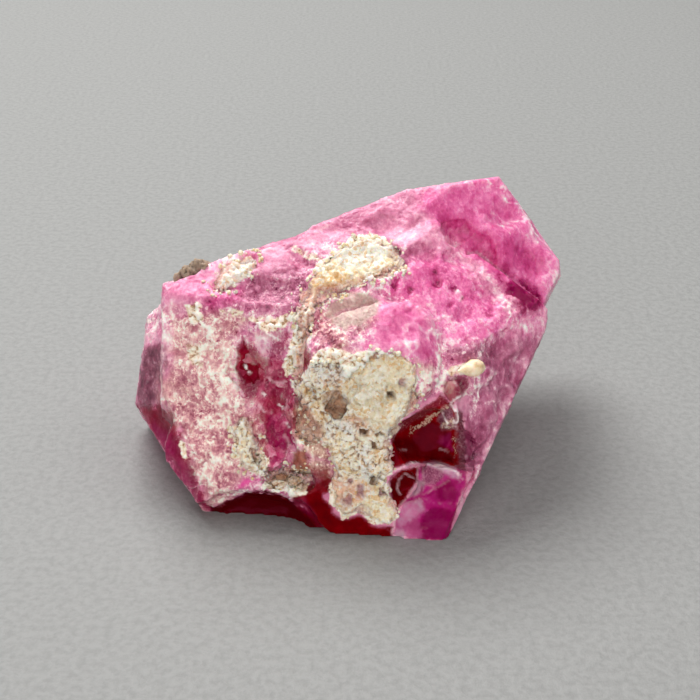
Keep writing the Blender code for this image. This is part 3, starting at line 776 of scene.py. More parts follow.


# Ramps of screen colours.  The first five are the skin, from dark and bruised to white and frosted;
# the dark end also shows painted shade and the pale end painted light.
RAMPS = {
    "pink": ((0.0, (150, 30, 85)), (0.25, (190, 80, 125)), (0.5, (224, 132, 168)),
             (0.7, (246, 178, 200)), (0.85, (255, 220, 222)), (1.0, (255, 248, 236))),
    "magenta": ((0.0, (150, 0, 78)), (0.25, (196, 20, 112)), (0.5, (226, 76, 150)),
                (0.7, (244, 128, 182)), (0.85, (252, 188, 210)), (1.0, (255, 240, 238))),
    "rose": ((0.0, (125, 26, 50)), (0.25, (178, 84, 106)), (0.5, (214, 142, 148)),
             (0.7, (240, 188, 182)), (0.85, (252, 222, 208)), (1.0, (255, 250, 234))),
    "mauve": ((0.0, (70, 12, 40)), (0.25, (112, 44, 70)), (0.5, (156, 84, 108)),
              (0.7, (196, 136, 156)), (0.85, (236, 200, 204)), (1.0, (255, 244, 238))),
    "peach": ((0.0, (120, 70, 55)), (0.25, (168, 112, 92)), (0.5, (202, 154, 132)),
              (0.7, (230, 192, 168)), (0.85, (248, 226, 202)), (1.0, (255, 248, 232))),
    "grey": ((0.3, (178, 142, 132)), (0.55, (206, 178, 163)), (0.7, (230, 212, 196))),
    "red glass": ((0.3, (120, 0, 5)), (0.55, (165, 0, 8)), (0.7, (200, 5, 25))),
    "plum glass": ((0.3, (165, 0, 90)), (0.5, (205, 12, 130)), (0.7, (235, 90, 175))),
    "pale glass": ((0.35, (236, 130, 185)), (0.5, (228, 170, 200)), (0.65, (240, 205, 215))),
    "rosy glass": ((0.35, (130, 20, 38)), (0.6, (165, 60, 75)), (0.7, (225, 165, 150))),
    "mauve glass": ((0.35, (130, 62, 88)), (0.55, (178, 118, 136)), (0.7, (225, 180, 190))),
    "shattered glass": ((0.2, (128, 5, 35)), (0.45, (172, 28, 68)), (0.65, (202, 75, 110)),
                        (0.85, (242, 172, 187))),
    "dust": ((0.32, (178, 132, 98)), (0.44, (240, 213, 186)), (0.56, (253, 239, 219)),
             (0.7, (255, 250, 238))),
    "stain": ((0.35, (120, 52, 12)), (0.6, (165, 88, 40))),
    # Brown of holes and pores, darkened as painted shade in them.
    "crust hole": ((0.35, (58, 35, 22)), (0.6, (124, 84, 55))),
    "crust brown": ((0.35, (120, 72, 50)), (0.6, (190, 140, 110))),
    "crust mauve": ((0.35, (120, 60, 85)), (0.6, (190, 140, 145))),
    "crust border": ((0.35, (206, 130, 132)), (0.5, (232, 176, 168)), (0.65, (250, 222, 208))),
    "crust peach": ((0.35, (188, 128, 108)), (0.5, (220, 170, 148)), (0.65, (240, 206, 182))),
    "seed grain": ((0.3, (205, 160, 110)), (0.5, (240, 218, 180)), (0.7, (252, 242, 215))),
    "floor": ((0.35, (130, 130, 128)), (0.6, (140, 140, 138))),
}

HOT_PINK = tint(238, 70, 160)
DEEP_RED, DEEP_PLUM = tint(92, 0, 6), tint(150, 0, 78)
# Glitter of dust, and of painted glints.
DUST_AND_GLINT_GLITTER = tint(250, 220, 190)
# White of chips, and of painted glints and sparks.
CHIP_AND_GLINT_WHITE = tint(255, 248, 244)
GLINT_PINK = tint(246, 205, 212)
CRUST_ROSY, CRUST_GREY = tint(238, 178, 160), tint(222, 214, 188)
CRUST_WHITE = tint(248, 246, 238)

# The crusts' colours: ground, light patches, specks, dark grit that is also painted shade in
# hollows, and bright grains that are also painted light on tops.
CREAM = (tint(242, 222, 184), tint(250, 238, 212), tint(226, 174, 106), tint(158, 108, 70),
         tint(255, 250, 238))
BROWN = (tint(138, 116, 98), tint(160, 138, 120), tint(118, 92, 72), tint(96, 76, 62),
         tint(172, 150, 130))

# How the materials let light through.
BERYL_IOR = 1.57
PLAIN_IOR = 1.5
GLASS_TINT = (0.3, 0.03, 0.08, 1)
BERYL_ABSORPTION = {"Color": (0.9, 0.02, 0.35, 1), "Density": 800.0}
BERYL_GLOW = {"Subsurface_Weight": 0.35, "Subsurface_Radius": (1.0, 0.35, 0.5),
              "Subsurface_Scale": 0.25 * MM}
CRUST_GLOW = {"Subsurface_Weight": 0.5, "Subsurface_Radius": (1.0, 0.8, 0.5),
              "Subsurface_Scale": 0.12 * MM}
SEED_GLOW = {"Subsurface_Weight": 0.3, "Subsurface_Scale": 0.2 * MM}

# How clear the darkest skin and the glass are, and what part of it is left where it is shattered.
SKIN_CLEARNESS, GLASS_CLEARNESS, SHATTERED_CLEARNESS = 0.2, 0.43, 0.4
SKIN_SHINE, GLASS_SHINE = 0.5, 0.03
GLASS_ROUGHNESS, CHIP_ROUGHNESS, DUST_ROUGHNESS, FLOOR_ROUGHNESS = 0.08, 0.15, 0.9, 0.7

# ---------------------------------------------------------------- node materials

# The materials' noises, about 0.3 to 0.7: size of their blobs in millimetres, detail, roughness.
TEXTURES = {
    "grain": (0.16, 5, 0.65),
    "fleck": (0.06, 3, 0.7),
    "streak": (0.14, 5, 0.65),
    "thread": (0.4, 4, 0.62),
    "glass depth": (0.5, 3, 0.6),
    "glitter": (0.05, 3, 0.8),
    "crust grit": (0.08, 5, 0.7),
    "crust patch": (0.5, 4, 0.6),
    "crust rust": (0.2, 5, 0.7),
    "seed streak": (0.25, 4, 0.6),
    "seed bumps": (0.1, 4, 0.55),
    "floor speckle": (0.22, 3, 0.6),
}

# The materials' grains: size in millimetres.
GRAINS = {"sugar": 0.11, "chip": 0.07, "broken plane": 0.28, "crust sand": 0.085,
          "crust stone": 0.2}

# The materials' bumps: depth in millimetres and strength.
BUMPS = {
    "grain": (0.08, 0.8),
    "facet": (0.03, 0.8),
    "crust grit": (0.06, 0.9),
    "crust sand": (0.04, 0.8),
    "crust stone": (0.05, 0.6),
    "seed": (0.02, 0.6),
    "floor": (0.08, 0.5),
}

# How values spread: what goes in, low and high, and what comes out for it.
SPREADS = {
    "streaks": (0.35, 0.65, -0.2, 0.2),
    "sugar": (0.0, 1.0, -0.07, 0.07),
    "flecks": (0.3, 0.7, -0.09, 0.09),
    "pale chips": (0.90, 0.94, 0.0, 0.22),
    "dark chips": (0.05, 0.02, 0.0, -0.25),
    "threads": (0.0, 0.018, 0.4, 0.0),
    "skin roughness": (0.0, 0.8, 0.25, 0.5),
    "grain on planes": (0.3, 0.7, 0.0, 0.3),
    "glitter": (0.38, 0.52, 0.0, 1.0),
    "grain in dust": (0.3, 0.7, 0.0, 0.6),
    "dust": (0.75, 1.05, 0.0, 1.0),
    "crust patches": (0.35, 0.65, 0.0, 1.0),
    "crust bright sand": (0.6, 0.75, 0.0, 0.6),
    "crust specks": (0.22, 0.1, 0.0, 0.6),
    "crust rust": (0.56, 0.7, 0.0, 0.8),
    "crust dark grit": (0.4, 0.3, 0.0, 0.5),
    # Painted shade in crust hollows and painted light on crust tops.
    "crust hollow shade": (0.45, 0.1, 0.0, 0.75),
    "crust top light": (0.6, 0.9, 0.0, 0.6),
    "crust roughness": (0.3, 0.7, 0.75, 0.95),
    "seed roughness": (0.3, 0.7, 0.3, 0.55),
}

# How fully a mark's finish covers the colours below it, on the skin, the glass and the crusts.
SKIN_COVERS = {"grey": 0.9, "stain": 0.9, "glint": 0.8}
GLASS_COVERS = {"pale": 0.95, "mauve": 0.85, "deep": 0.8, "shattered": 0.7}
CRUST_COVERS = {"tan": 0.6, "rosy": 0.6, "grey": 0.6, "white": 0.75, "hole": 0.85, "brown": 0.6,
                "mauve": 0.8}

# What part of the mottling is left where it is calm, of the bumps in glass, and of the painted
# shade in hollows where a crust is blurred.
CALM_MOTTLE, GLASS_BUMPS, SOFT_HOLLOW_SHADE = 0.3, 0.15, 0.35
# Streaks are drawn out upwards, and threads run where their noise is at its middle.
STREAK_STRETCH = (1.0, 1.0, 0.35)
THREAD_MIDDLE = 0.5
# What part the planes have in the shattered glass's colour, and the relief in the dust's:
# the dust is darker in hollows, a painted shade, and paler on tops, a painted light.
PLANE_SHARE = 0.7
DUST_RELIEF_LIGHT_AND_SHADE = 0.35


class Graph:
    """A short way to lay out a material's nodes."""

    def __init__(self, name):
        self.material = bpy.data.materials.new(name)
        self.material.use_nodes = True
        self.tree = self.material.node_tree
        self.shader = self.tree.nodes["Principled BSDF"]
        where = self.add("ShaderNodeTexCoord").outputs["Object"]
        self.place = self.add(
            "ShaderNodeVectorMath", {0: where, "Scale": 1 / MM}, operation="SCALE").outputs[0]

    def add(self, kind, sockets=None, **settings):
        node = self.tree.nodes.new(kind)
        for key, value in settings.items():
            setattr(node, key, value)
        for key, value in (sockets or {}).items():
            self.plug(node.inputs[key], value)
        return node

    def plug(self, socket, value):
        if isinstance(value, bpy.types.NodeSocket):
            self.tree.links.new(value, socket)
        else:
            socket.default_value = value

    def set(self, **sockets):
        """Plain values and links on the shader's own sockets."""
        for key, value in sockets.items():
            self.plug(self.shader.inputs[key.replace("_", " ")], value)

    def attribute(self, name):
        return self.add("ShaderNodeAttribute", attribute_name=name).outputs["Fac"]

    def noise(self, use, place=None):
        size, detail, roughness = TEXTURES[use]
        return self.add("ShaderNodeTexNoise", {
            "Vector": place or self.place, "Scale": 1 / size, "Detail": detail,
            "Roughness": roughness}).outputs["Fac"]

    def cells(self, use):
        """A random value for each grain, and how far away its middle is."""
        node = self.add("ShaderNodeTexVoronoi", {"Vector": self.place, "Scale": 1 / GRAINS[use]})
        value = self.add("ShaderNodeSeparateColor", {0: node.outputs["Color"]}).outputs[0]
        return value, node.outputs["Distance"]

    def math(self, operation, a, b=0.0, c=0.0, clamp=False):
        return self.add("ShaderNodeMath", {0: a, 1: b, 2: c},
                        operation=operation, use_clamp=clamp).outputs[0]

    def times(self, a, b):
        return self.math("MULTIPLY", a, b)

    def plus(self, a, b):
        return self.math("ADD", a, b)

    def most(self, a, b):
        return self.math("MAXIMUM", a, b)

    def map(self, value, low, high, to_low, to_high):
        """Map low..high to to_low..to_high, clamped."""
        return self.add("ShaderNodeMapRange", {
            "Value": value, "From Min": low, "From Max": high, "To Min": to_low,
            "To Max": to_high}).outputs["Result"]

    def spread(self, value, use):
        """Map a value as its use has it in the table."""
        return self.map(value, *SPREADS[use])

    def between(self, share, none, full):
        """A value that goes from none to full as a share goes from 0 to 1."""
        return self.map(share, 0.0, 1.0, none, full)

    def mix(self, share, a, b):
        node = self.add("ShaderNodeMix", data_type="RGBA")
        for socket, value in ((0, share), (6, a), (7, b)):
            self.plug(node.inputs[socket], value)
        return node.outputs[2]

    def ramp(self, value, name):
        """The colours of a named ramp."""
        node = self.add("ShaderNodeValToRGB", {"Fac": value})
        elements = node.color_ramp.elements
        stops = RAMPS[name]
        while len(elements) < len(stops):
            elements.new(0.5)
        for element, (position, colour) in zip(elements, stops):
            element.position = position
            element.color = tint(*colour)
        return node.outputs["Color"]

    def bump(self, height, use, normal=None):
        """A bump, over another one if given."""
        depth, strength = BUMPS[use]
        sockets = {"Height": height, "Distance": depth * MM, "Strength": strength}
        if normal is not None:
            sockets["Normal"] = normal
        return self.add("ShaderNodeBump", sockets).outputs["Normal"]


def beryl_glass(g, share, grain, fleck):
    """The colours of the clear places, which are broken glass."""
    cover = {kind: g.times(share[kind], amount) for kind, amount in GLASS_COVERS.items()}
    depth = g.noise("glass depth")
    glass = g.mix(share["magenta"], g.ramp(depth, "red glass"), g.ramp(depth, "plum glass"))
    glass = g.mix(cover["pale"], glass, g.ramp(depth, "pale glass"))
    glass = g.mix(share["rosy glass"], glass, g.ramp(fleck, "rosy glass"))
    glass = g.mix(cover["mauve"], glass, g.ramp(fleck, "mauve glass"))
    glass = g.mix(cover["deep"], glass, g.mix(share["magenta"], DEEP_RED, DEEP_PLUM))
    plane, _ = g.cells("broken plane")
    plane = g.plus(g.times(plane, PLANE_SHARE), g.spread(grain, "grain on planes"))
    glass = g.mix(cover["shattered"], glass, g.ramp(plane, "shattered glass"))
    # Painted glints: bright specks over the hollow's dusty glass, partly dust and partly painted
    # sparkle.
    glitter = g.spread(g.times(share["dusty glinting glass"], g.noise("glitter")), "glitter")
    return g.mix(glitter, glass, DUST_AND_GLINT_GLITTER)


def skin_mottle(g, busy, fleck, sugar):
    """How streaks, sugary grains, flecks, chips and threads shift the skin's tone."""
    drawn_out = g.add(
        "ShaderNodeVectorMath", {0: g.place, 1: STREAK_STRETCH}, operation="MULTIPLY").outputs[0]
    chip, _ = g.cells("chip")
    thread = g.math("ABSOLUTE", g.math("SUBTRACT", g.noise("thread"), THREAD_MIDDLE))
    mottle = g.plus(g.spread(g.noise("streak", drawn_out), "streaks"), g.spread(sugar, "sugar"))
    mottle = g.plus(mottle, g.spread(fleck, "flecks"))
    for value, use in ((chip, "pale chips"), (chip, "dark chips"), (thread, "threads")):
        mottle = g.plus(mottle, g.times(g.spread(value, use), busy))
    return mottle


def beryl_material():
    g = Graph("red_beryl")
    share = {kind: g.attribute(kind) for kind in KINDS}
    cover = {kind: g.times(share[kind], amount) for kind, amount in SKIN_COVERS.items()}

    # The skin, with its mottling weaker where it is calm, and the glass.
    grain = g.noise("grain")
    fleck = g.noise("fleck")
    sugar, facet = g.cells("sugar")
    busy = g.between(g.attribute("calm"), 1.0, CALM_MOTTLE)
    mottle = skin_mottle(g, busy, fleck, sugar)
    tone = g.math("MULTIPLY_ADD", mottle, busy, g.attribute("tone"), clamp=True)
    colour = g.ramp(tone, "pink")
    for name in ("magenta", "mauve", "rose", "peach"):
        colour = g.mix(share[name], colour, g.ramp(tone, name))
    colour = g.mix(cover["grey"], colour, g.ramp(grain, "grey"))
    colour = g.mix(share["hot"], colour, HOT_PINK)
    colour = g.mix(share["clear"], colour, beryl_glass(g, share, grain, fleck))

    # What lies on it.
    dust = g.spread(g.plus(share["cream"], g.spread(grain, "grain in dust")), "dust")
    # Dust colour by height: its own flecks, with painted shade in hollows and painted light on
    # tops.
    height = g.plus(g.times(g.attribute("relief"), DUST_RELIEF_LIGHT_AND_SHADE), g.times(fleck, 1 - DUST_RELIEF_LIGHT_AND_SHADE))
    colour = g.mix(dust, colour, g.ramp(height, "dust"))
    colour = g.mix(cover["stain"], colour, g.ramp(grain, "stain"))
    # White chips, and painted glints.
    colour = g.mix(share["white"], colour, CHIP_AND_GLINT_WHITE)
    colour = g.mix(cover["glint"], colour, GLINT_PINK)

    # How clear, rough, bumpy and shiny it is.
    solid = g.most(dust, g.most(share["white"], share["stain"]))
    clearness = g.math("MULTIPLY_ADD", tone, -SKIN_CLEARNESS, SKIN_CLEARNESS, clamp=True)
    clearness = g.between(share["clear"], clearness, GLASS_CLEARNESS)
    clearness = g.times(clearness, g.between(solid, 1.0, 0.0))
    clearness = g.times(clearness, g.between(share["shattered"], 1.0, SHATTERED_CLEARNESS))
    roughness = g.spread(tone, "skin roughness")
    roughness = g.between(share["clear"], roughness, GLASS_ROUGHNESS)
    roughness = g.between(dust, roughness, DUST_ROUGHNESS)
    roughness = g.between(g.most(share["white"], share["glint"]), roughness, CHIP_ROUGHNESS)
    bumpy = g.times(g.between(share["clear"], 1.0, GLASS_BUMPS), busy)
    normal = g.bump(g.times(grain, bumpy), "grain")
    normal = g.bump(g.times(facet, bumpy), "facet", normal)
    shine = g.between(share["clear"], SKIN_SHINE, GLASS_SHINE)
    dull = g.times(share["clear"], g.between(share["glint"], 1.0, 0.0))
    g.set(Base_Color=colour, Roughness=roughness, IOR=BERYL_IOR, Specular_IOR_Level=shine,
          Specular_Tint=g.mix(dull, (1, 1, 1, 1), GLASS_TINT), Transmission_Weight=clearness,
          Normal=normal, **BERYL_GLOW)
    absorb = g.add("ShaderNodeVolumeAbsorption", BERYL_ABSORPTION)
    g.plug(g.tree.nodes["Material Output"].inputs["Volume"], absorb.outputs["Volume"])
    return g.material


def matrix_material(name, ground, light, speck, dark, bright):
    """Grainy porous clay and rhyolite.  Dark is its dark grit and painted shade in hollows; bright
    is its bright grains and painted light on tops.
    """
    g = Graph(name)
    grit = g.noise("crust grit")
    patch = g.noise("crust patch")
    sand, bead = g.cells("crust sand")
    _, stone = g.cells("crust stone")
    relief = g.attribute("relief")
    cover = {kind: g.times(g.attribute(kind), amount) for kind, amount in CRUST_COVERS.items()}
    colour = g.mix(g.spread(patch, "crust patches"), ground, light)
    for kind, other in (("tan", speck), ("rosy", CRUST_ROSY), ("grey", CRUST_GREY),
                        ("white", CRUST_WHITE)):
        colour = g.mix(cover[kind], colour, other)
    for value, use, other in ((sand, "crust bright sand", bright), (sand, "crust specks", speck),
                              (g.noise("crust rust"), "crust rust", speck),
                              (grit, "crust dark grit", dark)):
        colour = g.mix(g.spread(value, use), colour, other)
    # Painted shade in the hollows, weaker where the crust is blurred, and painted light on the
    # tops.
    crisp = g.between(g.attribute("soft"), 1.0, SOFT_HOLLOW_SHADE)
    colour = g.mix(g.times(g.spread(relief, "crust hollow shade"), crisp), colour, dark)
    colour = g.mix(g.spread(relief, "crust top light"), colour, bright)
    for kind in ("hole", "brown", "mauve"):
        colour = g.mix(cover[kind], colour, g.ramp(grit, f"crust {kind}"))
    colour = g.mix(g.attribute("off"), colour, g.ramp(grit, "crust border"))
    colour = g.mix(g.attribute("peach"), colour, g.ramp(patch, "crust peach"))
    normal = g.bump(grit, "crust grit")
    normal = g.bump(g.times(bead, -1.0), "crust sand", normal)
    normal = g.bump(g.times(stone, -1.0), "crust stone", normal)
    g.set(Base_Color=colour, Roughness=g.spread(grit, "crust roughness"), IOR=PLAIN_IOR,
          Normal=normal, **CRUST_GLOW)
    return g.material


def grain_material():
    g = Graph("cream_mineral")
    streak = g.noise("seed streak")
    g.set(Base_Color=g.ramp(streak, "seed grain"), Roughness=g.spread(streak, "seed roughness"),
          IOR=PLAIN_IOR, Normal=g.bump(g.noise("seed bumps"), "seed"), **SEED_GLOW)
    return g.material


def floor_material():
    g = Graph("pale_floor")
    speckle = g.noise("floor speckle")
    g.set(Base_Color=g.ramp(speckle, "floor"), Roughness=FLOOR_ROUGHNESS,
          Normal=g.bump(speckle, "floor"))
    return g.material


# ---------------------------------------------------------------- crystal

# The crusts' solids and their material slots.
CRUSTS = {
    "matrix_furrow": "cream_matrix",
    "matrix_corner": "cream_matrix",
    "matrix_patch": "cream_matrix",
    "matrix_arch": "cream_matrix",
    "matrix_back": "brown_matrix",
}

CRYSTAL_VOXEL = 0.06
CRYSTAL_TRIANGLES = 190000

# The crystal's roughness: heights in millimetres, and how far clear and calm places lose it.
SKIN_HEIGHTS = {"coarse": 0.030, "fine": 0.022, "hackle": 0.028, "swell": 0.03, "web": 0.02}
CLEAR_LOSS, CALM_LOSS = 0.85, 0.6
GREY_AS_CLEAR = 0.5
WEB_WIDTH = 0.09
WEB_GAPS = (-0.15, 0.3)
DUST_STAND, DUST_GRANULES, DUST_LUMPS = 0.03, 0.07, 0.06
BREAK_HEIGHT, BREAK_DEPTH = 0.06, 0.04
# The roughness dies away towards the bench, so that the crystal still rests on it.
FOOT_FADE = 0.25
EVEN_ROUNDS = 50
# Relief is how far a point stands over its eased surroundings, as a part of this height.
RELIEF_ROUNDS = 6
RELIEF_HEIGHT = 0.03

# The skin's tone: its middle, and how far marks, relief and noises shift it.
# Relief makes raised points paler, as frost and painted light, and hollows darker, as painted
# shade.
TONE_MIDDLE = 0.56
TONE_PALE, TONE_DEEP, TONE_RELIEF_FROST_AND_SHADE = 0.28, 0.45, 0.10
TONE_BROAD, TONE_FINE, TONE_WEB = 0.26, 0.36, 0.38

# How far from a crust the crystal is dusty and has loose grains, and how dusty beside it.
CRUMB_REACH = 0.22
DUST_AT_CRUSTS = 0.5

# Thinning: how steeply a face turns away and in how many levels it then loses triangles.
BACK_TURN = 0.15
BACK_LEVELS = 4

# The skin that crusts lie on is taken this far from them, where it faces the camera.
SKIN_CLEARANCE = 0.1
FACING = -0.2


def crust_distance(points):
    """How far each point is from the nearest crust, in millimetres."""
    places = [v.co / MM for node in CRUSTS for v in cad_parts[node].data.vertices]
    tree = KDTree(len(places))
    for k, place in enumerate(places):
        tree.insert(place, k)
    tree.balance()
    return np.array([tree.find(Vector(point))[2] for point in points])


def thin_out_back(shape, triangles):
    """Keep the fine mesh where the camera sees it and thin it out elsewhere."""
    mesh = shape.data
    _, outward = mesh_arrays(mesh)
    away = smooth_step(outward @ np.array(AHEAD), -BACK_TURN, BACK_TURN)
    group = shape.vertex_groups.new(name="back")
    for step in range(1, BACK_LEVELS + 1):
        level = step / BACK_LEVELS
        chosen = np.nonzero((away > level - 1 / BACK_LEVELS) & (away <= level))[0]
        group.add(chosen.tolist(), level, "REPLACE")
    count = sum(len(face.vertices) - 2 for face in mesh.polygons)
    if count > triangles:
        with_modifiers(shape, ("DECIMATE", {"ratio": triangles / count, "vertex_group": "back"}))
    shape.vertex_groups.clear()


def even_out(mesh, grey):
    """Even out the solid's own edges where the crystal is worn or broken round."""
    points, _ = mesh_arrays(mesh)
    pixels = pixels_of(points)
    smooth = grey
    for amount, softness, outline in EVENED.values():
        smooth = np.maximum(smooth, amount * inside_share(pixels, outline, softness))
    eased_points = eased(points, edge_array(mesh), EVEN_ROUNDS)
    points = points + smooth[:, None] * (eased_points - points)
    set_points(mesh, points)
    return points


def skin_web(points):
    """A web of thin lines with gaps in it, 1 on the lines."""
    lines = 1 - smooth_step(np.abs(noise(points, "web")), 0.0, WEB_WIDTH)
    return lines * smooth_step(noise(points, "web gaps"), *WEB_GAPS)


def skin_height(points, shares, calm, web):
    """How far the chips, the dust and the broken planes lift the crystal's surface."""
    textures = {
        "coarse": chips(points, "coarse chips"),
        "fine": chips(points, "fine chips"),
        "hackle": noise(points, "hackle"),
        "swell": noise(points, "swell"),
        "web": web,
    }
    height = sum(SKIN_HEIGHTS[name] * texture for name, texture in textures.items())
    height += shares["cream"] * (DUST_STAND + DUST_GRANULES * chips(points, "dust granules")
                                 + DUST_LUMPS * noise(points, "dust lumps"))
    glassy = np.clip(shares["clear"] + GREY_AS_CLEAR * shares["grey"], 0, 1)
    return (1 - CLEAR_LOSS * glassy) * (1 - CALM_LOSS * calm) * height


def skin_by_pixel(points, outward, crust_away):
    """The crystal's skin beside the crusts, looked up by where it shows: a tree of pixels and the
    depths."""
    points = points[(outward @ np.array(AHEAD) < FACING) & (crust_away > SKIN_CLEARANCE)]
    tree = KDTree(len(points))
    for k, (u, v) in enumerate(pixels_of(points)):
        tree.insert((u, v, 0), k)
    tree.balance()
    return tree, depths_of(points)


def make_crystal():
    """The crystal with its loose grains; gives back its skin for the crusts to lie on."""
    shape = fine_copy("beryl", "twin_crystal", CRYSTAL_VOXEL)
    mesh = shape.data
    tree = surface_tree(mesh)
    shares, lift, calm = feature_shares(mesh_arrays(mesh)[0], tree)
    points = even_out(mesh, shares["grey"])
    _, outward = mesh_arrays(mesh)
    web = skin_web(points)
    planes = chips(points, "broken planes")
    lift = lift + shares["shattered"] * (BREAK_HEIGHT * planes - BREAK_DEPTH)
    height = skin_height(points, shares, calm, web) + lift
    foot = smooth_step(points[:, 2], 0.0, FOOT_FADE)
    set_points(mesh, points + outward * (height * foot)[:, None])

    moved, _ = mesh_arrays(mesh)
    low = eased(moved, edge_array(mesh), RELIEF_ROUNDS)
    relief = np.clip(((moved - low) * outward).sum(axis=1) / RELIEF_HEIGHT, -1, 1)
    small_tones = TONE_FINE * noise(points, "fine tone") + TONE_WEB * web
    # Raised points are paler, as frost and painted light, and hollows darker, as painted shade.
    tone = (TONE_MIDDLE + TONE_PALE * shares["pale"] - TONE_DEEP * shares["deep"]
            + TONE_RELIEF_FROST_AND_SHADE * relief + TONE_BROAD * noise(points, "broad tone")
            + (1 - CALM_LOSS * calm) * small_tones)
    crust_away = crust_distance(points)
    beside = 1 - smooth_step(crust_away, 0.0, CRUMB_REACH)
    shares["cream"] = np.maximum(shares["cream"], DUST_AT_CRUSTS * beside)
    # The relief share sets the dust's painted shade and light in the material.
    marks = {"tone": np.clip(tone, 0, 1), "calm": calm, "relief": 0.5 + 0.5 * relief, **shares}
    for name, values in marks.items():
        mark(mesh, name, values)

    crumbly = np.nonzero((crust_away < CRUMB_REACH) & (shares["clear"] < 0.5))[0]
    crumbly = crumbly[seen_share(points[crumbly], tree) > 0.5]
    make_crumbs(moved[crumbly], outward[crumbly])
    thin_out_back(shape, CRYSTAL_TRIANGLES)
    finish_piece(shape, "twin_crystal", beryl_material())
    return skin_by_pixel(moved, outward, crust_away)


# ---------------------------------------------------------------- loose grains

# Their count, least and greatest radius in millimetres, seeds and shape.
CRUMBS = 1300
CRUMB_SIZES = (0.02, 0.07)
MICRONS = 1000
PLACE_SEED, SIZE_SEED, SHAPE_SEED = 83, 85, 87
CRUMB_STRETCH = (0.7, 0.6)
CRUMB_STAND = 0.3
CRUMB_ROUGHNESS = 0.4
# The crumbs' relief share, at which the crust material paints neither shade nor light.
CRUMB_RELIEF = 0.55


def make_crumbs(points, outward):
    """Loose grains of the cream crusts that cling to the beryl beside them."""
    low, high = (np.array(corner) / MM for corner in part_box("matrix_back"))
    brown = ((points > low - CRUMB_REACH) & (points < high + CRUMB_REACH)).all(axis=1)
    luck = lattice(np.round(points * MICRONS).astype(np.int64), PLACE_SEED)
    chosen = np.argsort(luck + brown)[:CRUMBS]
    ball = bmesh.new()
    bmesh.ops.create_icosphere(ball, subdivisions=2, radius=1)
    unit = np.array([corner.co for corner in ball.verts])
    faces = np.array([[corner.index for corner in face.verts] for face in ball.faces])
    ball.free()
    small, large = CRUMB_SIZES
    least, more = CRUMB_STRETCH
    shells = []
    for k, one in enumerate(chosen):
        size = small + (large - small) * lattice(np.array([k, 1, 0]), SIZE_SEED) ** 2
        stretch = [least + more * lattice(np.array([k, 2, axis]), SIZE_SEED) for axis in range(3)]
        shell = unit * size * stretch + points[one] + CRUMB_STAND * size * outward[one]
        rough = layered(shell, size, 2, SHAPE_SEED)
        shells.append(shell + CRUMB_ROUGHNESS * size * unit * rough[:, None])
    mesh = bpy.data.meshes.new("crust_crumbs")
    all_corners = np.concatenate(shells)
    all_faces = np.concatenate([faces + k * len(unit) for k in range(len(shells))])
    mesh.from_pydata(all_corners.tolist(), [], all_faces.tolist())
    mark(mesh, "relief", np.full(len(all_corners), CRUMB_RELIEF))
    crumbs = add_object("crust_crumbs", mesh)
    dress(mesh, CRUST_LOOKS["cream_matrix"])
    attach(crumbs, BODY)


# ---------------------------------------------------------------- crusts

CRUST_VOXEL = 0.036
SKIN_NEIGHBOURS = 6
# A crust is eased, cut ragged along its outlines, and pressed thin on the skin.
CRUST_EASE_ROUNDS = 16
CRUST_OUTLINE_PX = 6
CRUST_RAGGED_PX, CRUST_SHRINK_PX = 8, 2
THIN_STAND, THIN_SHARE = 0.12, 0.30
OFF_STAND = 0.05
# Then it gets its grit: heights in millimetres, of places marked on it too.
CRUST_STAND, CRUST_LUMPS, CRUST_KNOB = 0.06, 0.14, 0.16
CRUST_GRIT, CRUST_SAND, CRUST_GAPS, CRUST_PORES = 0.050, 0.025, 0.02, 0.08
PORE_EDGE = (0.6, 0.85)
CRUST_RISES = {"rim": 0.08, "off": -0.10, "hole": -0.26, "brown": -0.10, "mauve": -0.10}
SOFT_LOSS = 0.55
CRUST_RELIEF_ROUNDS = 12
CRUST_RELIEF_HEIGHT = 0.09


def stand_proud(points, pixels, skin):
    """How far each point stands in front of the skin around it."""
    tree, depths = skin
    around = np.zeros(len(points))
    for k, (u, v) in enumerate(pixels):
        near = tree.find_n((u, v, 0), SKIN_NEIGHBOURS)
        weights = [1 / (distance + 1) ** 2 for _, _, distance in near]
        total = sum(weight * depths[place] for weight, (_, place, _) in zip(weights, near))
        around[k] = total / sum(weights)
    return around - depths_of(points)


def crust_share(pixels, wobble):
    """1 where the picture shows crust, 0 where it shows bare beryl, with a ragged border."""
    on = np.zeros(len(pixels))
    shift = CRUST_RAGGED_PX * wobble - CRUST_SHRINK_PX
    for *finishes, outline in REGIONS.values():
        if any(kind == "cream" for kind, *_ in finishes):
            on = np.maximum(on, inside_share(pixels, outline, CRUST_OUTLINE_PX, shift))
    return on


def crust_height(points, places, crisp):
    """How far lumps, grit and pores lift a crust's surface."""
    grit, gaps = shards(points, *CHIPS["crust grit"])
    pores = smooth_step(chips(points, "crust pores"), *PORE_EDGE)
    small = (CRUST_GRIT * grit + CRUST_SAND * chips(points, "crust sand") - CRUST_GAPS * gaps
             - CRUST_PORES * pores)
    height = (CRUST_STAND + CRUST_LUMPS * noise(points, "crust lumps") + crisp * small
              + CRUST_KNOB * places["grey"] * noise(points, "knob bumps"))
    for kind, rise in CRUST_RISES.items():
        height = height + rise * places[kind]
    return height


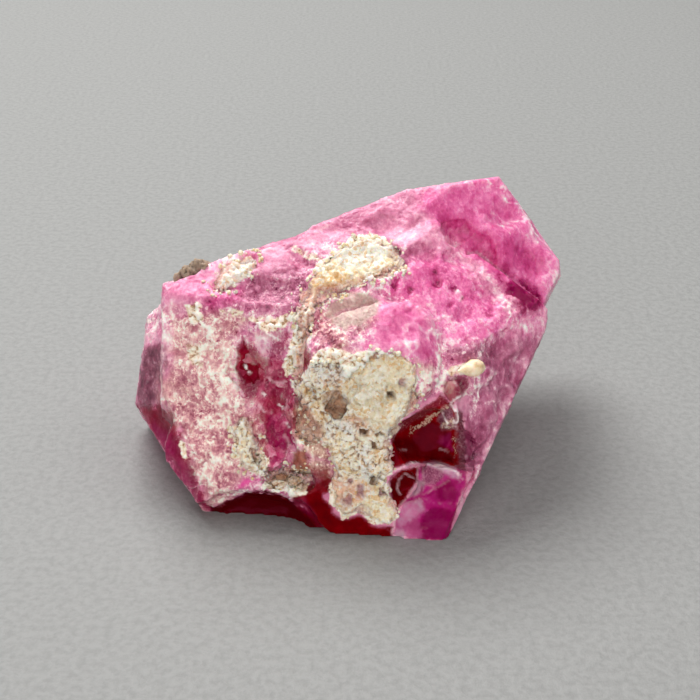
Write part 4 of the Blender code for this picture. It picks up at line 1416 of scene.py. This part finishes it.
def make_crust(node, slot, material, skin):
    shape = fine_copy(node.replace("matrix", "crust"), node, CRUST_VOXEL)
    mesh = shape.data
    edges = edge_array(mesh)
    points = eased(mesh_arrays(mesh)[0], edges, CRUST_EASE_ROUNDS)
    set_points(mesh, points)
    _, outward = mesh_arrays(mesh)
    pixels = pixels_of(points)
    wobble = noise(points, "crust wobble")
    on = np.ones(len(points)) if slot == "brown_matrix" else crust_share(pixels, wobble)
    proud = np.maximum(stand_proud(points, pixels, skin), 0)
    kept = np.minimum(proud, THIN_STAND + THIN_SHARE * proud) * (OFF_STAND + (1 - OFF_STAND) * on)
    points = points + np.array(AHEAD) * (proud - kept)[:, None]
    places = {"off": 1 - on, **{kind: np.zeros(len(points)) for kind in CRUST_KINDS}}
    for kind, softness, *outlines in CRUST_PLACES.values():
        for outline in outlines:
            share = inside_share(pixels, outline, softness, wobble * (WOBBLE_LEAST_PX + softness))
            places[kind] = np.maximum(places[kind], share)
    crisp = 1 - SOFT_LOSS * places["soft"]
    moved = points + outward * crust_height(points, places, crisp)[:, None]
    set_points(mesh, moved)
    # The relief share, which the crust material turns into painted shade in hollows and painted
    # light on tops.
    relief = ((moved - eased(moved, edges, CRUST_RELIEF_ROUNDS)) * outward).sum(axis=1)
    mark(mesh, "relief", np.clip(0.5 + crisp * relief / CRUST_RELIEF_HEIGHT, 0, 1))
    for kind, share in places.items():
        mark(mesh, kind, share)
    finish_piece(shape, node, material)


# ---------------------------------------------------------------- seed grain

SEED_VOXEL = 0.03
SEED_ROUGHNESS = 0.02


def make_grain():
    shape = fine_copy("seed_grain", "cream_grain", SEED_VOXEL)
    mesh = shape.data
    points, outward = mesh_arrays(mesh)
    height = SEED_ROUGHNESS * noise(points, "seed grain")
    set_points(mesh, points + outward * height[:, None])
    finish_piece(shape, "cream_grain", grain_material())


# ---------------------------------------------------------------- stage

FLOOR_HALF = 600
WORLD_STRENGTH = 0.2

# Soft square lights that look at the crystal: place and size in millimetres, power in watts.
LIGHTS = {
    "window": ((-52, 100, 168), 120, 0.53),
    "softbox": ((80, -20, 185), 160, 0.16),
    "low fill": ((-20, -140, 40), 110, 0.145),
}


def make_floor():
    mesh = bmesh.new()
    bmesh.ops.create_grid(mesh, x_segments=1, y_segments=1, size=FLOOR_HALF * MM)
    data = bpy.data.meshes.new("floor")
    mesh.to_mesh(data)
    mesh.free()
    data.materials.append(floor_material())
    floor = add_object("floor", data)
    floor.location.z = CAD_BOX[0].z


def make_lights():
    for name, (place, size, power) in LIGHTS.items():
        data = bpy.data.lights.new(name, "AREA")
        data.shape = "SQUARE"
        data.size = size * MM
        data.energy = power
        place = Vector(place)
        put_object(name, data, place, (place - TARGET).to_track_quat("Z", "Y"))
    world = bpy.data.worlds.new("studio")
    world.use_nodes = True
    sky = world.node_tree.nodes["Background"]
    sky.inputs["Color"].default_value = (1, 1, 1, 1)
    sky.inputs["Strength"].default_value = WORLD_STRENGTH
    bpy.context.scene.world = world


make_camera()
CRUST_LOOKS = {
    "cream_matrix": matrix_material("cream_crust", *CREAM),
    "brown_matrix": matrix_material("brown_crust", *BROWN),
}
crystal_skin = make_crystal()
for crust_node, crust_slot in CRUSTS.items():
    make_crust(crust_node, crust_slot, CRUST_LOOKS[crust_slot], crystal_skin)
make_grain()
make_floor()
make_lights()
bpy.context.scene.view_settings.view_transform = "Standard"
